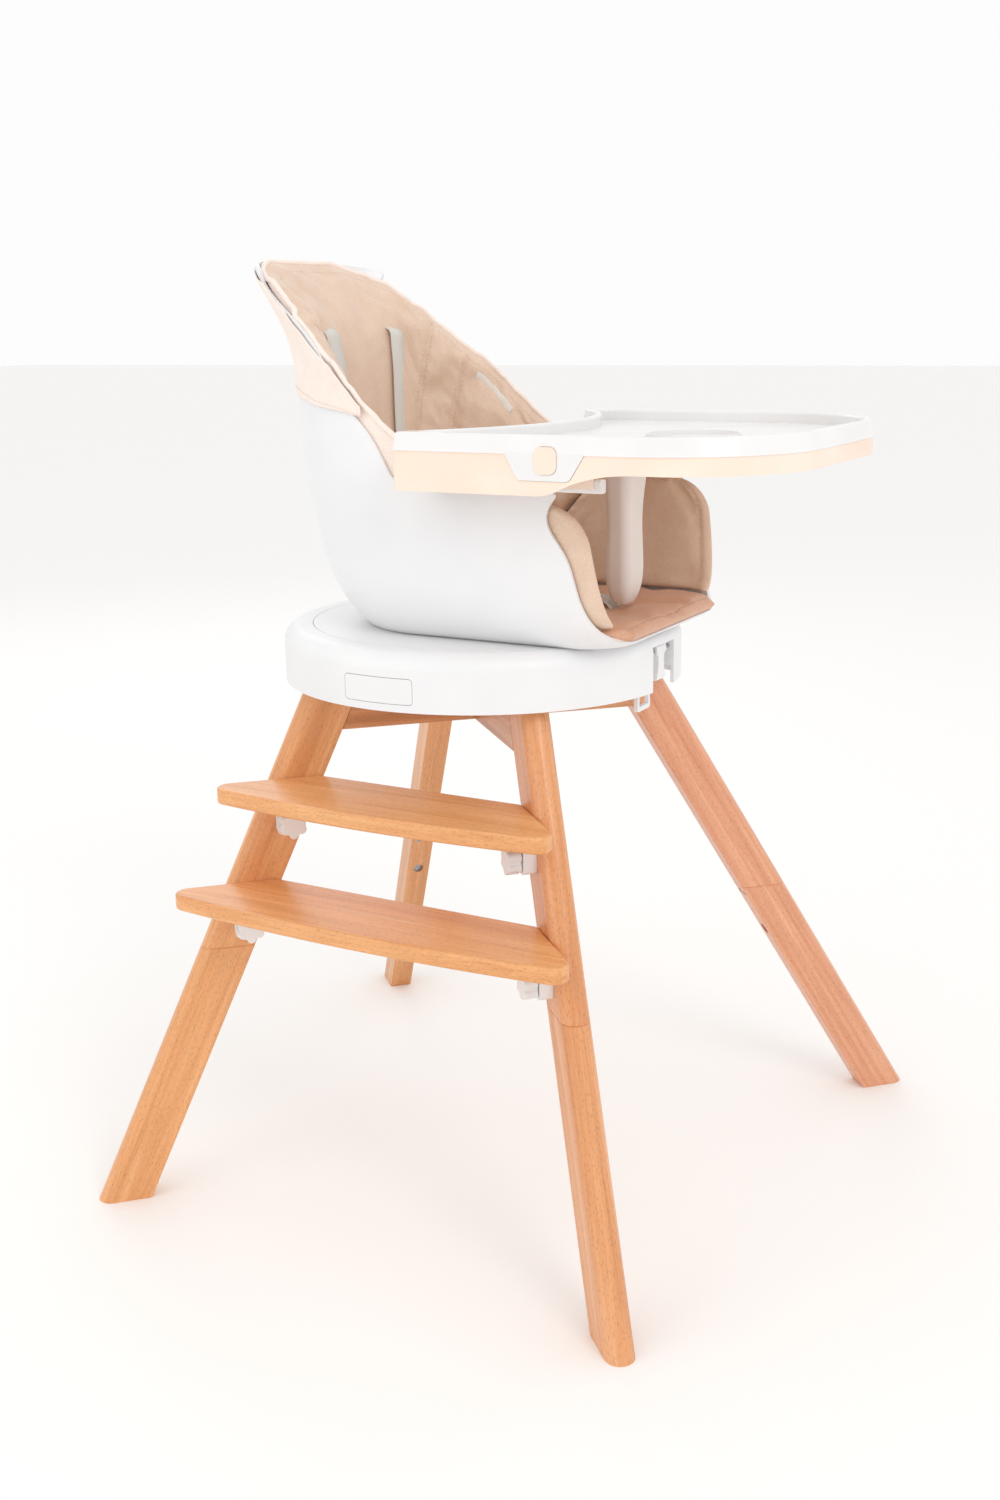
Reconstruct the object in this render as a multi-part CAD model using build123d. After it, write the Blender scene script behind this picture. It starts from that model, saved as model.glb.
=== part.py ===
from build123d import *
import math
import os

# Convertible baby high chair with a swivelling seat, a sliding tray and two steps.
# Millimetres. The origin is on the floor under the turntable's axis, +Z is up,
# the seat faces -Y and the steps are on the -X side.

# ---------------------------------------------------------------- driving sizes
# stand
leg_thickness = 28.0        # across each leg, between its flat flanks
leg_flat = 40.5             # flat length of a flank, along the diagonal
leg_round = leg_thickness / 2 - 1.0     # how far the rounded outer edge stands past the flat
leg_edge = 1.5              # rounding of the two inner corners
housing_radius = 202.0
step_leg_reach = housing_radius + 170.5     # axis to a step-side leg's inner face, at the floor
step_leg_splay = 0.453      # outward run for each unit of height
far_leg_reach = housing_radius + 252.5
far_leg_splay = 0.6065
leg_joint_height = 268.0    # where the lower and upper leg sections meet
joint_edge = 0.7            # small chamfer that shows the joint as a line
beam_bottom = 487.0
beam_depth = 60.0
# mid joint fixings
bolt_radius = 4.0
bolt_in_upper = 18.0
nut_radius = 6.0
nut_drop = 56.0             # nut's centre below the joint, along the height
nut_recess = 7.0            # how deep the nut lies under the inner face
nut_length = 16.0
joint_screw_drop = 9.0
joint_screw_spread = 11.0
joint_screw_head = 2.9
joint_screw_shank = 1.6
joint_screw_length = 18.0
# steps
upper_step_top = 442.0
lower_step_top = 337.0
step_thickness = 16.0
step_depth = 98.0           # back edge to the middle of the bowed front edge
step_bow = 14.0
step_back_inset = 4.0       # back edge outside the legs' inner corners
step_corner = 14.0
step_edge = 2.5
step_gap = 0.2              # between a board's end and the leg's flank
# brackets and knobs
bracket_width = 28.0        # along the leg's diagonal
bracket_thickness = 13.0    # out from the flank
bracket_drop = 39.0
bracket_inset = 4.0         # from the leg's inner face
flange_length = 30.0
flange_thickness = 4.0
stud_drop = 27.0            # knob axis below the board
stud_radius = 3.0
stud_in_leg = 16.0
knob_radius = 14.0
knob_waist = 11.2
knob_thickness = 13.0
knob_gap = 1.0
knob_lobes = 6
knob_lobe_radius = 4.6
knob_hollow_radius = 1.5
knob_edge = 1.2
knob_crown = 4.0            # solid plastic over the end of the stud
turn_clearance = 0.06       # radial, wherever something turns on a shaft
# housing and turntable
plate_thickness = 5.0
housing_wall = 3.5
housing_ledge = 4.5         # extra wall above the base plate, which carries the housing
housing_bottom = beam_bottom + beam_depth - 12.0
housing_top = housing_bottom + 55.0
housing_dome = 16.0
disc_radius = housing_radius - 29.5
disc_gap = 0.6
disc_thickness = 8.0
pin_radius = 8.0
hub_radius = 20.0
hub_gap = 1.0
pin_flange_radius = 24.0
pin_flange_thickness = 4.0
pin_nut_radius = 13.0
pin_nut_thickness = 5.0
ball_radius = 4.0
ball_count = 24
ball_ring_radius = housing_radius - 82.0
race_width = 12.0
base_race_height = 4.0
# controls on the housing
panel_width = 74.0
panel_bottom = housing_bottom + 7.0
panel_height = 25.0
panel_thickness = 4.0
panel_gap = 0.5
panel_travel = 3.0
panel_stem_radius = 3.0
panel_stem_height = panel_bottom + 19.0
panel_notch_depth = 14.0
lug_setback = 24.0          # from the housing's outside to the lug that guides the stem
panel_lug_thickness = 4.0
pocket_width = 50.0
pocket_top = housing_top - 11.0
pocket_depth = 20.0
pocket_wall = 2.5
lever_width = 24.0
lever_waist = 13.0
lever_top = pocket_top - 2.0
lever_bottom = housing_bottom + 9.0
lever_thickness = 8.0
latch_pin_radius = 2.0
latch_pin_height = lever_top - 5.0
tab_width = 30.0
tab_height = 24.0
tab_bar = 4.5
tab_thickness = 4.0
tab_y = -housing_radius + 26.0
# seat shell
shell_wall = 3.0
shell_half_width = 155.0
shell_foot_half_width = shell_half_width - 43.0
shell_side_rim = housing_top + 147.0
shell_back_rim = housing_top + 353.0
shell_front_lip = housing_top + 8.0
rim_rise_start = -8.0       # y where the side rim starts to climb
# liner
liner_gap = 0.4             # between the shell and the soft parts, and between soft parts
back_thickness = 30.0       # foam behind the child's back
side_thickness = 13.0
wing_thickness = 12.0
wing_top = housing_top + 134.0
wing_front_top = -184.0
wing_front_foot = -200.0
wing_corner = 34.0
wing_back = -14.0
pad_top = housing_top + 21.0
pad_front = -222.0
hood_thickness = 3.0
hood_bottom = housing_top + 216.0
strap_width = 22.0
strap_thickness = 1.6
shoulder_x = shell_half_width - 97.0
lap_reach = shell_half_width - 55.0
lap_width = 18.0
buckle_low = housing_top + 50.0
buckle_tall = 32.0
buckle_wide = 48.0
tag_long = 56.0
tag_wide = 9.0
tag_thickness = 0.8
# tray
tray_rim_height = housing_top + 199.0
tray_half_width = shell_half_width + 47.0
tray_front = -371.0
tray_back = -22.0
tray_seam_height = tray_rim_height - 16.0    # where the upper tray meets the lower one
tray_skirt_bottom = tray_seam_height - 35.0
tray_front_bottom = tray_seam_height - 16.0
tray_wall = 3.0
tray_rim_width = 11.0
tray_rim_draft = 4.0        # how far the rim's outer face leans in, from seam to top
tray_corner = 130.0
belly_half_width = tray_half_width - 18.0    # where the belly cut meets the arms' ends
belly_depth = -92.0
arm_corner = 5.0
recess_arm_inset = 13.0     # how much further from the arms' ends the recess stops
tray_rim_round = 2.4
rail_height = 12.0
rail_width = 11.0
rail_front = -206.0
rail_back = -6.0
rail_gap = 0.3
button_travel = 2.5
button_proud = 1.0
button_width = 21.0
button_tall = 23.0
button_corner = 7.2
button_gap = 0.3
tongue_thickness = 4.0
tongue_bottom = tray_seam_height - 22.0
tongue_corner = 6.0
button_y = -176.5
button_height = tray_seam_height - 5.0
button_head = 4.0
button_stem_radius = 3.0
lug_inset = 17.0            # from the tray's side to the lug that guides a button
lug_thickness = 3.0
post_bottom = pad_top + 5.5
post_y = -158.0

os.makedirs("parts", exist_ok=True)
nodes = {}


def keep(name, *solids):
    """Store one sub-part, made of one or more separate solids."""
    pieces = []
    for item in solids:
        pieces.extend(item.solids())
    nodes[name] = pieces


def box(low, high):
    """A box between two corners."""
    size = [high[i] - low[i] for i in range(3)]
    centre = [(high[i] + low[i]) / 2 for i in range(3)]
    return Pos(*centre) * Box(*size)


def rod(start, direction, radius, length):
    """A cylinder that starts at a point and runs along a direction."""
    return Plane(origin=start, z_dir=direction) * Cylinder(
        radius, length, align=(Align.CENTER, Align.CENTER, Align.MIN))


def ring(start, direction, outer, inner, length):
    """A tube that starts at a point and runs along a direction."""
    return rod(start, direction, outer, length) - rod(start, direction, inner, length)


# ---------------------------------------------------------------- legs
beam_top = beam_bottom + beam_depth
corners = {  # name: (compass angle of the leg, reach, splay)
    "step_rear": (135.0, step_leg_reach, step_leg_splay),
    "step_front": (225.0, step_leg_reach, step_leg_splay),
    "far_rear": (45.0, far_leg_reach, far_leg_splay),
    "far_front": (315.0, far_leg_reach, far_leg_splay),
}


def leg_section(inner, height):
    """The leg's level cross-section: flat inside and flanks, round outside."""
    half = leg_thickness / 2
    flat_end = inner + leg_flat
    with BuildSketch(Plane.XY.offset(height)) as section:
        with BuildLine():
            Polyline((flat_end, -half), (inner, -half), (inner, half), (flat_end, half))
            ThreePointArc((flat_end, half), (flat_end + leg_round, 0), (flat_end, -half))
        make_face()
        inner_corners = section.vertices().sort_by(Axis.X)[:2]
        fillet(inner_corners, leg_edge)
    return section.sketch


def leg_piece(reach, splay, low, high):
    """A straight leg section between two heights, along +X before it is turned."""
    run = Vector(-splay, 0, 1).normalized()
    length = (high - low) / run.Z
    piece = extrude(leg_section(reach - splay * low, low), amount=length, dir=run)
    return piece


joint_bolts, barrel_nuts, joint_screws = [], [], []
for corner, (angle, reach, splay) in corners.items():
    turn = Rot(0, 0, angle)
    upper = leg_piece(reach, splay, leg_joint_height, beam_top)
    lower = leg_piece(reach, splay, 0, leg_joint_height)
    upper = chamfer(upper.faces().sort_by(Axis.Z)[0].edges(), joint_edge)
    lower = chamfer(lower.faces().sort_by(Axis.Z)[-1].edges(), joint_edge)
    axis = Vector(-splay, 0, 1).normalized()
    nut_height = leg_joint_height - nut_drop
    centre_radius = reach - splay * nut_height + leg_flat / 2
    nut_centre = (centre_radius, 0, nut_height)
    # the bolt runs up the middle of the leg from the barrel nut
    bolt_length = nut_drop / axis.Z + bolt_in_upper
    bolt = rod(nut_centre, tuple(axis), bolt_radius, bolt_length)
    face_radius = reach - splay * nut_height
    hole_depth = nut_recess + nut_length
    hole = rod((face_radius - 20, 0, nut_height), (1, 0, 0), nut_radius, 20 + hole_depth)
    nut = rod((face_radius + nut_recess, 0, nut_height), (1, 0, 0), nut_radius, nut_length)
    upper -= bolt
    lower -= bolt
    lower -= hole
    nut -= bolt
    screw_height = leg_joint_height - joint_screw_drop
    screw_face = reach - splay * screw_height
    for side in (-1, 1):
        spread = side * joint_screw_spread / 2
        place = (screw_face - 2, spread, screw_height)
        shank = rod(place, (1, 0, 0), joint_screw_shank, joint_screw_length + 2)
        head = rod(place, (1, 0, 0), joint_screw_head, 2 + 3.5)
        lower -= head
        lower -= shank
        seat = (screw_face + 1.2, spread, screw_height)
        screw = rod(seat, (1, 0, 0), joint_screw_head, 2.3)
        screw += rod(seat, (1, 0, 0), joint_screw_shank, joint_screw_length - 1.2)
        joint_screws.append(turn * screw)
    joint_bolts.append(turn * bolt)
    barrel_nuts.append(turn * nut)
    nodes["upper_leg_" + corner] = [turn * upper]
    nodes["lower_leg_" + corner] = [turn * lower]

keep("leg_joint_bolts", *joint_bolts)
keep("leg_barrel_nuts", *barrel_nuts)
keep("leg_joint_screws", *joint_screws)

# ---------------------------------------------------------------- cross beams


def beam():
    """One beam along the X axis, its ends cut to the splay of the legs."""
    near = [step_leg_reach - step_leg_splay * h for h in (beam_bottom, beam_top)]
    far = [far_leg_reach - far_leg_splay * h for h in (beam_bottom, beam_top)]
    outline = Polyline((-near[0], beam_bottom), (far[0], beam_bottom),
                       (far[1], beam_top), (-near[1], beam_top), close=True)
    face = make_face(Plane.XZ * outline)
    return extrude(face, amount=leg_thickness / 2, both=True)


half_beam = leg_thickness / 2
lap_height = beam_bottom + beam_depth / 2
upper_notch = box((-half_beam, -50, lap_height), (half_beam, 50, beam_top + 5))
lower_notch = box((-half_beam, -50, beam_bottom - 5), (half_beam, 50, lap_height))
under_beam = Rot(0, 0, -45) * (beam() - upper_notch)
over_beam = Rot(0, 0, 45) * (beam() - lower_notch)
keep("cross_beam_under", under_beam)
keep("cross_beam_over", over_beam)

# ---------------------------------------------------------------- steps
root_two = math.sqrt(2)
flank_offset = leg_thickness / 2 * root_two    # flank plane: |y| = -x - flank_offset


def step_board(top):
    """A step board: straight back, bowed front, ends along the legs' flanks."""
    bottom = top - step_thickness
    inner = step_leg_reach - step_leg_splay * top
    back_x = -(inner / root_two + flank_offset / 2 + step_back_inset)
    offset = flank_offset + step_gap * root_two
    front_x = back_x - step_depth
    shoulder_x = front_x + step_bow
    back_y = -back_x - offset
    shoulder_y = -shoulder_x - offset
    with BuildSketch(Plane.XY.offset(bottom)) as plan:
        with BuildLine():
            Polyline((shoulder_x, shoulder_y), (back_x, back_y),
                     (back_x, -back_y), (shoulder_x, -shoulder_y))
            ThreePointArc((shoulder_x, -shoulder_y), (front_x, 0), (shoulder_x, shoulder_y))
        make_face()
        front_corners = plan.vertices().sort_by(Axis.X)[:2]
        fillet(front_corners, step_corner)
        back_corners = plan.vertices().sort_by(Axis.X)[-2:]
        fillet(back_corners, step_corner / 2)
    board = extrude(plan.sketch, amount=step_thickness)
    rims = board.faces().sort_by(Axis.Z)
    return fillet(rims[0].edges() + rims[-1].edges(), step_edge)


keep("upper_step", step_board(upper_step_top))
keep("lower_step", step_board(lower_step_top))

# ---------------------------------------------------------------- brackets, studs, knobs


def star_knob():
    """A lobed knob about the Z axis, its foot at z = 0, with a shaft hole."""
    with BuildSketch() as outline:
        Circle(knob_waist)
        with PolarLocations(knob_radius - knob_lobe_radius, knob_lobes):
            Circle(knob_lobe_radius)
        fillet(outline.vertices(), knob_hollow_radius)
    body = extrude(outline.sketch, amount=knob_thickness)
    body = fillet(body.faces().sort_by(Axis.Z)[-1].edges(), knob_edge)
    bore = Cylinder(stud_radius + turn_clearance, knob_thickness - knob_crown,
                    align=(Align.CENTER, Align.CENTER, Align.MIN))
    return body - bore


bracket_screws, studs = [], []
screw_radius = 2.0
for level, board_top in (("upper", upper_step_top), ("lower", lower_step_top)):
    for corner in ("step_rear", "step_front"):
        angle = corners[corner][0]
        # outward from the flank, on the step side, in the leg's own frame
        side = 1 if corner == "step_rear" else -1
        turn = Rot(0, 0, angle)
        board_bottom = board_top - step_thickness
        stud_height = board_bottom - stud_drop
        inner = step_leg_reach - step_leg_splay * stud_height
        start = inner + bracket_inset
        half = leg_thickness / 2
        flank = side * half
        far_face = side * (half + bracket_thickness)
        low_y, high_y = sorted((flank, far_face))
        block = box((start, low_y, board_bottom - bracket_drop),
                    (start + bracket_width, high_y, board_bottom))
        block = fillet(block.edges().filter_by(Axis.Y), 4.0)
        flange_end = side * (half + flange_length)
        low_y, high_y = sorted((flank, flange_end))
        block += box((start, low_y, board_bottom - flange_thickness),
                     (start + bracket_width, high_y, board_bottom))
        middle = start + bracket_width / 2
        # stud through the block into the leg
        inner_end = (middle, flank - side * stud_in_leg, stud_height)
        stud_length = stud_in_leg + bracket_thickness + knob_gap + knob_thickness - knob_crown - 1
        stud = rod(inner_end, (0, side, 0), stud_radius, stud_length)
        knob_foot = (middle, far_face + side * knob_gap, stud_height)
        knob_name = "_".join((level, "step_knob", corner.split("_")[1]))
        knob = Plane(origin=knob_foot, z_dir=(0, side, 0)) * star_knob()
        nodes[knob_name] = [turn * knob]
        block -= stud
        screw_y = side * (half + flange_length - 7)
        head = rod((middle, screw_y, board_bottom - flange_thickness - 1.5), (0, 0, 1), 3.6, 1.5)
        shank = rod((middle, screw_y, board_bottom - flange_thickness), (0, 0, 1),
                    screw_radius, flange_thickness + 10)
        block -= shank
        bracket_screws.append(turn * (head + shank))
        nodes["upper_leg_" + corner] = [turn_leg - turn * stud
                                        for turn_leg in nodes["upper_leg_" + corner]]
        step_name = level + "_step"
        nodes[step_name] = [board - turn * shank for board in nodes[step_name]]
        nodes["_".join((level, "step_bracket", corner.split("_")[1]))] = [turn * block]
        studs.append(turn * stud)
keep("bracket_screws", *bracket_screws)
keep("knob_studs", *studs)

# ---------------------------------------------------------------- base plate and housing
plate_top = beam_top + plate_thickness
inner_skirt = housing_radius - housing_wall
ledge_inner = inner_skirt - housing_ledge
base_plate = rod((0, 0, beam_top), (0, 0, 1), inner_skirt, plate_thickness)
race_inner = ball_ring_radius - race_width / 2
race_outer = ball_ring_radius + race_width / 2
race_top = plate_top + base_race_height
base_plate += ring((0, 0, plate_top), (0, 0, 1), race_outer, race_inner, base_race_height)

# the pocket for the latch lever, open at the front and the bottom
pocket_back = -(housing_radius - pocket_depth)
pocket_half = pocket_width / 2
pocket_space = box((-pocket_half, -housing_radius - 5, housing_bottom - 5),
                   (pocket_half, pocket_back, pocket_top))
pocket_case = box((-pocket_half - pocket_wall, -ledge_inner - 2, plate_top),
                  (pocket_half + pocket_wall, pocket_back + pocket_wall,
                   pocket_top + pocket_wall))
plate_notch = box((-pocket_half - pocket_wall - 0.5, -housing_radius, beam_top - 1),
                  (pocket_half + pocket_wall + 0.5, pocket_back + pocket_wall + 0.5, plate_top + 1))

# the opening for the lock panel on the step side
panel_half = panel_width / 2
panel_top = panel_bottom + panel_height
panel_hole = box((-housing_radius - 5, -panel_half, panel_bottom),
                 (-housing_radius + 25, panel_half, panel_top))
panel_hole = fillet(panel_hole.edges().filter_by(Axis.X), 4.0)
panel_notch = box((-housing_radius, -panel_half - 1, beam_top - 1),
                  (-housing_radius + panel_notch_depth, panel_half + 1, plate_top + 1))
base_plate -= plate_notch
base_plate -= panel_notch
lug_x = -housing_radius + lug_setback
base_plate += box((lug_x, -10, plate_top), (lug_x + panel_lug_thickness, 10, panel_stem_height + 7))
stem_hole = rod((lug_x - 5, 0, panel_stem_height), (1, 0, 0), panel_stem_radius + 0.3, 20)
base_plate -= stem_hole

dome_corner = housing_radius - housing_dome
inner_dome = ledge_inner - (dome_corner - 1.5)
lid_under = housing_top - housing_wall
hole_radius = disc_radius + disc_gap
outer_mid = housing_dome * (1 - 1 / root_two)
inner_mid = inner_dome * (1 - 1 / root_two)
with BuildSketch(Plane.XZ) as profile:
    with BuildLine():
        Polyline((dome_corner, housing_top), (hole_radius, housing_top),
                 (hole_radius, lid_under), (ledge_inner - inner_dome, lid_under))
        ThreePointArc((ledge_inner - inner_dome, lid_under),
                      (ledge_inner - inner_mid, lid_under - inner_mid),
                      (ledge_inner, lid_under - inner_dome))
        Polyline((ledge_inner, lid_under - inner_dome), (ledge_inner, plate_top),
                 (inner_skirt, plate_top), (inner_skirt, housing_bottom),
                 (housing_radius, housing_bottom), (housing_radius, housing_top - housing_dome))
        ThreePointArc((housing_radius, housing_top - housing_dome),
                      (housing_radius - outer_mid, housing_top - outer_mid),
                      (dome_corner, housing_top))
    make_face()
housing = revolve(profile.sketch, Axis.Z)
housing += pocket_case & rod((0, 0, housing_bottom), (0, 0, 1), ledge_inner + 1,
                             housing_top - housing_bottom)
housing -= pocket_space
housing -= panel_hole

# screws through the base plate into the beams and leg tops
plate_screws = []
for corner, (angle, reach, splay) in corners.items():
    top_radius = reach - splay * beam_top + leg_flat / 2
    for radius in (60.0, top_radius):
        place = Vector(radius, 0, plate_top).rotate(Axis.Z, angle)
        head = rod(tuple(place), (0, 0, 1), 4.5, 2.5)
        shank = rod((place.X, place.Y, plate_top - 28), (0, 0, 1), 2.2, 28)
        plate_screws.append(head + shank)
        base_plate -= shank
        for name in ("upper_leg_" + corner, "cross_beam_under", "cross_beam_over"):
            nodes[name] = [solid - shank for solid in nodes[name]]
keep("plate_screws", *plate_screws)

# ---------------------------------------------------------------- king pin and bearing
disc_bottom = housing_top - disc_thickness
flange_top = plate_top + pin_flange_thickness
nut_seat = housing_top - 9.0
king_pin = rod((0, 0, plate_top), (0, 0, 1), pin_flange_radius, pin_flange_thickness)
king_pin += rod((0, 0, plate_top), (0, 0, 1), pin_radius, nut_seat + 8 - plate_top)
pin_nut = ring((0, 0, nut_seat + 0.3), (0, 0, 1), pin_nut_radius, pin_radius, pin_nut_thickness)
balls = []
ball_height = race_top + ball_radius
for index in range(ball_count):
    spot = Vector(ball_ring_radius, 0, ball_height).rotate(Axis.Z, 360 / ball_count * index)
    balls.append(Pos(*spot) * Sphere(ball_radius))
keep("king_pin", king_pin)
keep("king_pin_nut", pin_nut)
keep("bearing_balls", *balls)

disc = rod((0, 0, disc_bottom), (0, 0, 1), disc_radius, disc_thickness)
disc_race_bottom = ball_height + ball_radius + 0.1
disc += ring((0, 0, disc_race_bottom), (0, 0, 1), race_outer, race_inner,
             disc_bottom - disc_race_bottom + 0.5)
hub_bottom = flange_top + hub_gap
disc += rod((0, 0, hub_bottom), (0, 0, 1), hub_radius, disc_bottom - hub_bottom + 0.5)
disc -= rod((0, 0, hub_bottom - 1), (0, 0, 1), pin_radius + turn_clearance, 60)
disc -= rod((0, 0, nut_seat), (0, 0, 1), pin_nut_radius + 2, 20)

# ---------------------------------------------------------------- lock panel
curve_outer = rod((0, 0, panel_bottom + panel_gap), (0, 0, 1), housing_radius,
                  panel_height - 2 * panel_gap)
curve_inner = rod((0, 0, panel_bottom), (0, 0, 1), housing_radius - panel_thickness, panel_height)
panel_block = box((-housing_radius - 5, -panel_half + panel_gap, panel_bottom + panel_gap),
                  (-housing_radius + 15, panel_half - panel_gap, panel_top - panel_gap))
panel_block = fillet(panel_block.edges().filter_by(Axis.X), 3.5)
lock_panel = (curve_outer & panel_block) - curve_inner
stem_start = -housing_radius + panel_thickness - 1
lock_panel += rod((stem_start, 0, panel_stem_height), (1, 0, 0), panel_stem_radius,
                  lug_x + panel_lug_thickness + 2 - stem_start)
spring_start = -housing_radius + panel_thickness + panel_travel + 0.8
lock_spring = ring((spring_start, 0, panel_stem_height), (1, 0, 0), 5.5, panel_stem_radius + 0.6,
                   lug_x - spring_start)
keep("lock_panel", lock_panel)
keep("lock_panel_spring", lock_spring)

# ---------------------------------------------------------------- latch lever and pull tab
lever_y = pocket_back - 12.0      # middle of the lever's thickness
lever_half = lever_width / 2
waist_half = lever_waist / 2
waist_height = (lever_top + lever_bottom) / 2
with BuildSketch(Plane.XZ) as lever_face:
    with BuildLine():
        Line((-lever_half, lever_top), (lever_half, lever_top))
        ThreePointArc((lever_half, lever_top), (waist_half, waist_height),
                      (lever_half, lever_bottom))
        Line((lever_half, lever_bottom), (-lever_half, lever_bottom))
        ThreePointArc((-lever_half, lever_bottom), (-waist_half, waist_height),
                      (-lever_half, lever_top))
    make_face()
lever = Pos(0, lever_y, 0) * extrude(lever_face.sketch, amount=lever_thickness / 2, both=True)
lever += rod((-lever_half + 1, lever_y, latch_pin_height), (1, 0, 0), 4.6, lever_width - 2)
lever -= rod((-40, lever_y, latch_pin_height), (1, 0, 0), latch_pin_radius + turn_clearance, 80)
latch_pin = rod((-pocket_half, lever_y, latch_pin_height), (1, 0, 0), latch_pin_radius, pocket_width)
spring_y = lever_y + lever_thickness / 2 + 0.3
latch_spring = ring((0, spring_y, lever_bottom + 6), (0, 1, 0), 4.0, 2.2, pocket_back - spring_y)
keep("latch_lever", lever)
keep("latch_pin", latch_pin)
keep("latch_spring", latch_spring)

tab_outer = box((-tab_width / 2, tab_y - tab_thickness, housing_bottom - tab_height),
                (tab_width / 2, tab_y, housing_bottom + 2))
tab_outer = fillet(tab_outer.edges().filter_by(Axis.Y), 3.0)
tab_hole = box((-tab_width / 2 + tab_bar, tab_y - tab_thickness - 1,
                housing_bottom - tab_height + tab_bar),
               (tab_width / 2 - tab_bar, tab_y + 1, housing_bottom - 2))
pull_tab = tab_outer - tab_hole
pull_tab += box((-6, tab_y - tab_thickness, housing_bottom), (6, tab_y + 26, housing_bottom + 5))
keep("pull_tab", pull_tab)
guide_gap = 0.3
guide = box((-10, tab_y + 4, housing_bottom - 4), (10, tab_y + 22, beam_top))
guide -= box((-6 - guide_gap, tab_y - 10, housing_bottom - guide_gap),
             (6 + guide_gap, tab_y + 40, housing_bottom + 5 + guide_gap))
base_plate += guide

keep("base_plate", base_plate)
keep("turntable_housing", housing)

# ---------------------------------------------------------------- seat shell


def tub_plan(half_width, back, front, rear_radius, front_radius, height):
    """A plan of the tub: straight sides, round back corners, round front corners."""
    with BuildSketch(Plane.XY.offset(height)) as plan:
        with BuildLine():
            Line((half_width, back - rear_radius), (half_width, front + front_radius))
            RadiusArc((half_width, front + front_radius),
                      (half_width - front_radius, front), front_radius)
            Line((half_width - front_radius, front), (-half_width + front_radius, front))
            RadiusArc((-half_width + front_radius, front),
                      (-half_width, front + front_radius), front_radius)
            Line((-half_width, front + front_radius), (-half_width, back - rear_radius))
            RadiusArc((-half_width, back - rear_radius),
                      (-half_width + rear_radius, back), rear_radius)
            Line((-half_width + rear_radius, back), (half_width - rear_radius, back))
            RadiusArc((half_width - rear_radius, back),
                      (half_width, back - rear_radius), rear_radius)
        make_face()
    return plan.sketch


tub_levels = [  # height, half width, back, front
    (housing_top, shell_foot_half_width, 108.0, -196.0),
    (housing_top + 8, shell_foot_half_width + 14, 116.0, -212.0),
    (housing_top + 35, shell_half_width - 14, 137.0, -226.0),
    (housing_top + 90, shell_half_width - 4, 158.5, -228.0),
    (housing_top + 150, shell_half_width, 169.0, -226.0),
    (housing_top + 240, shell_half_width - 2, 176.0, -222.0),
    (housing_top + 290, shell_half_width - 6, 190.5, -218.0),
    (housing_top + 360, shell_half_width - 12, 216.0, -214.0),
]


def tub(inset, lift=0.0, back_inset=None):
    """The tub's solid form, drawn in by an inset and raised by a lift."""
    if back_inset is None:
        back_inset = inset
    plans = []
    for height, half_width, back, front in tub_levels:
        rear_radius = half_width - 14.0 - inset
        plans.append(tub_plan(half_width - inset, back - back_inset, front + inset,
                              rear_radius, 42.0 - inset * 0.6, height + lift))
    return loft(plans)


tub_outer = tub(0.0)
tub_inner = tub(shell_wall, shell_wall)
above_seat = shell_back_rim + 60.0    # clear of everything soft

# the rim in side view: low over the front, an S-curve behind the tray, high at the back
lip_front = -262.0


def side_profile(drop, front_shift):
    """The region kept by the rim, seen from the side, as a plate across the seat."""
    rim = shell_side_rim - drop
    back_rim = shell_back_rim - drop
    lip_z = shell_front_lip - drop
    floor_z = housing_top - 5
    with BuildSketch(Plane.YZ) as side:
        with BuildLine():
            front_top = (-150.0 + front_shift, rim)
            lip_end = (-214.0 + front_shift, lip_z)
            Polyline((lip_front, floor_z), (lip_front, lip_z), lip_end)
            Spline(lip_end, (-196.0 + front_shift, lip_z + 10), (-180.0 + front_shift, lip_z + 42),
                   (-167.0 + front_shift, rim - 53), (-157.0 + front_shift, rim - 10),
                   front_top, tangents=((1, 0.05), (1, 0)))
            Line(front_top, (rim_rise_start, rim))
            # an S-curve behind the tray, then the long rise to the back
            Spline((rim_rise_start, rim), (14.0, rim + 19), (31.0, rim + 46), (46.0, rim + 62),
                   (88.0, rim + 113), (135.0, rim + 153), (180.0, rim + 187),
                   (216.0, back_rim), tangents=((1, 0.1), (1, 0.12)))
            Polyline((216.0, back_rim), (300.0, back_rim), (300.0, floor_z), (lip_front, floor_z))
        make_face()
    return extrude(side.sketch, amount=220, both=True)


shell_side = side_profile(0.0, 0.0)
seat_shell = (tub_outer & shell_side) - tub_inner
pin_space = rod((0, 0, housing_top - 1), (0, 0, 1), pin_nut_radius + 2, shell_wall + 2)
seat_shell -= pin_space

seat_screws = []
for index in range(4):
    spot = Vector(70, 0, 0).rotate(Axis.Z, 45 + 90 * index)
    head = rod((spot.X, spot.Y, housing_top + shell_wall), (0, 0, 1), 4.0, 2.0)
    shank = rod((spot.X, spot.Y, disc_bottom), (0, 0, 1), 2.0, disc_thickness + shell_wall)
    seat_screws.append(head + shank)
    seat_shell -= shank
    disc -= shank
keep("turntable_disc", disc)
keep("seat_screws", *seat_screws)

# ---------------------------------------------------------------- liner
skin = shell_wall + liner_gap
cavity = tub(skin, skin)
back_cavity = tub(skin + side_thickness, skin + 4, skin + back_thickness)
pad_underside = housing_top + skin + 2.4
liner_side = side_profile(1.0, -2.0)

# seat pad: fills the tub's floor up to the pad's top
seat_pad = tub(skin + 1.0, skin) & box((-200, pad_front, pad_underside), (200, 200, pad_top))
seat_pad -= box((-22, -152, pad_underside - 1), (22, -143, pad_top + 1))
keep("seat_pad", seat_pad)

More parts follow.
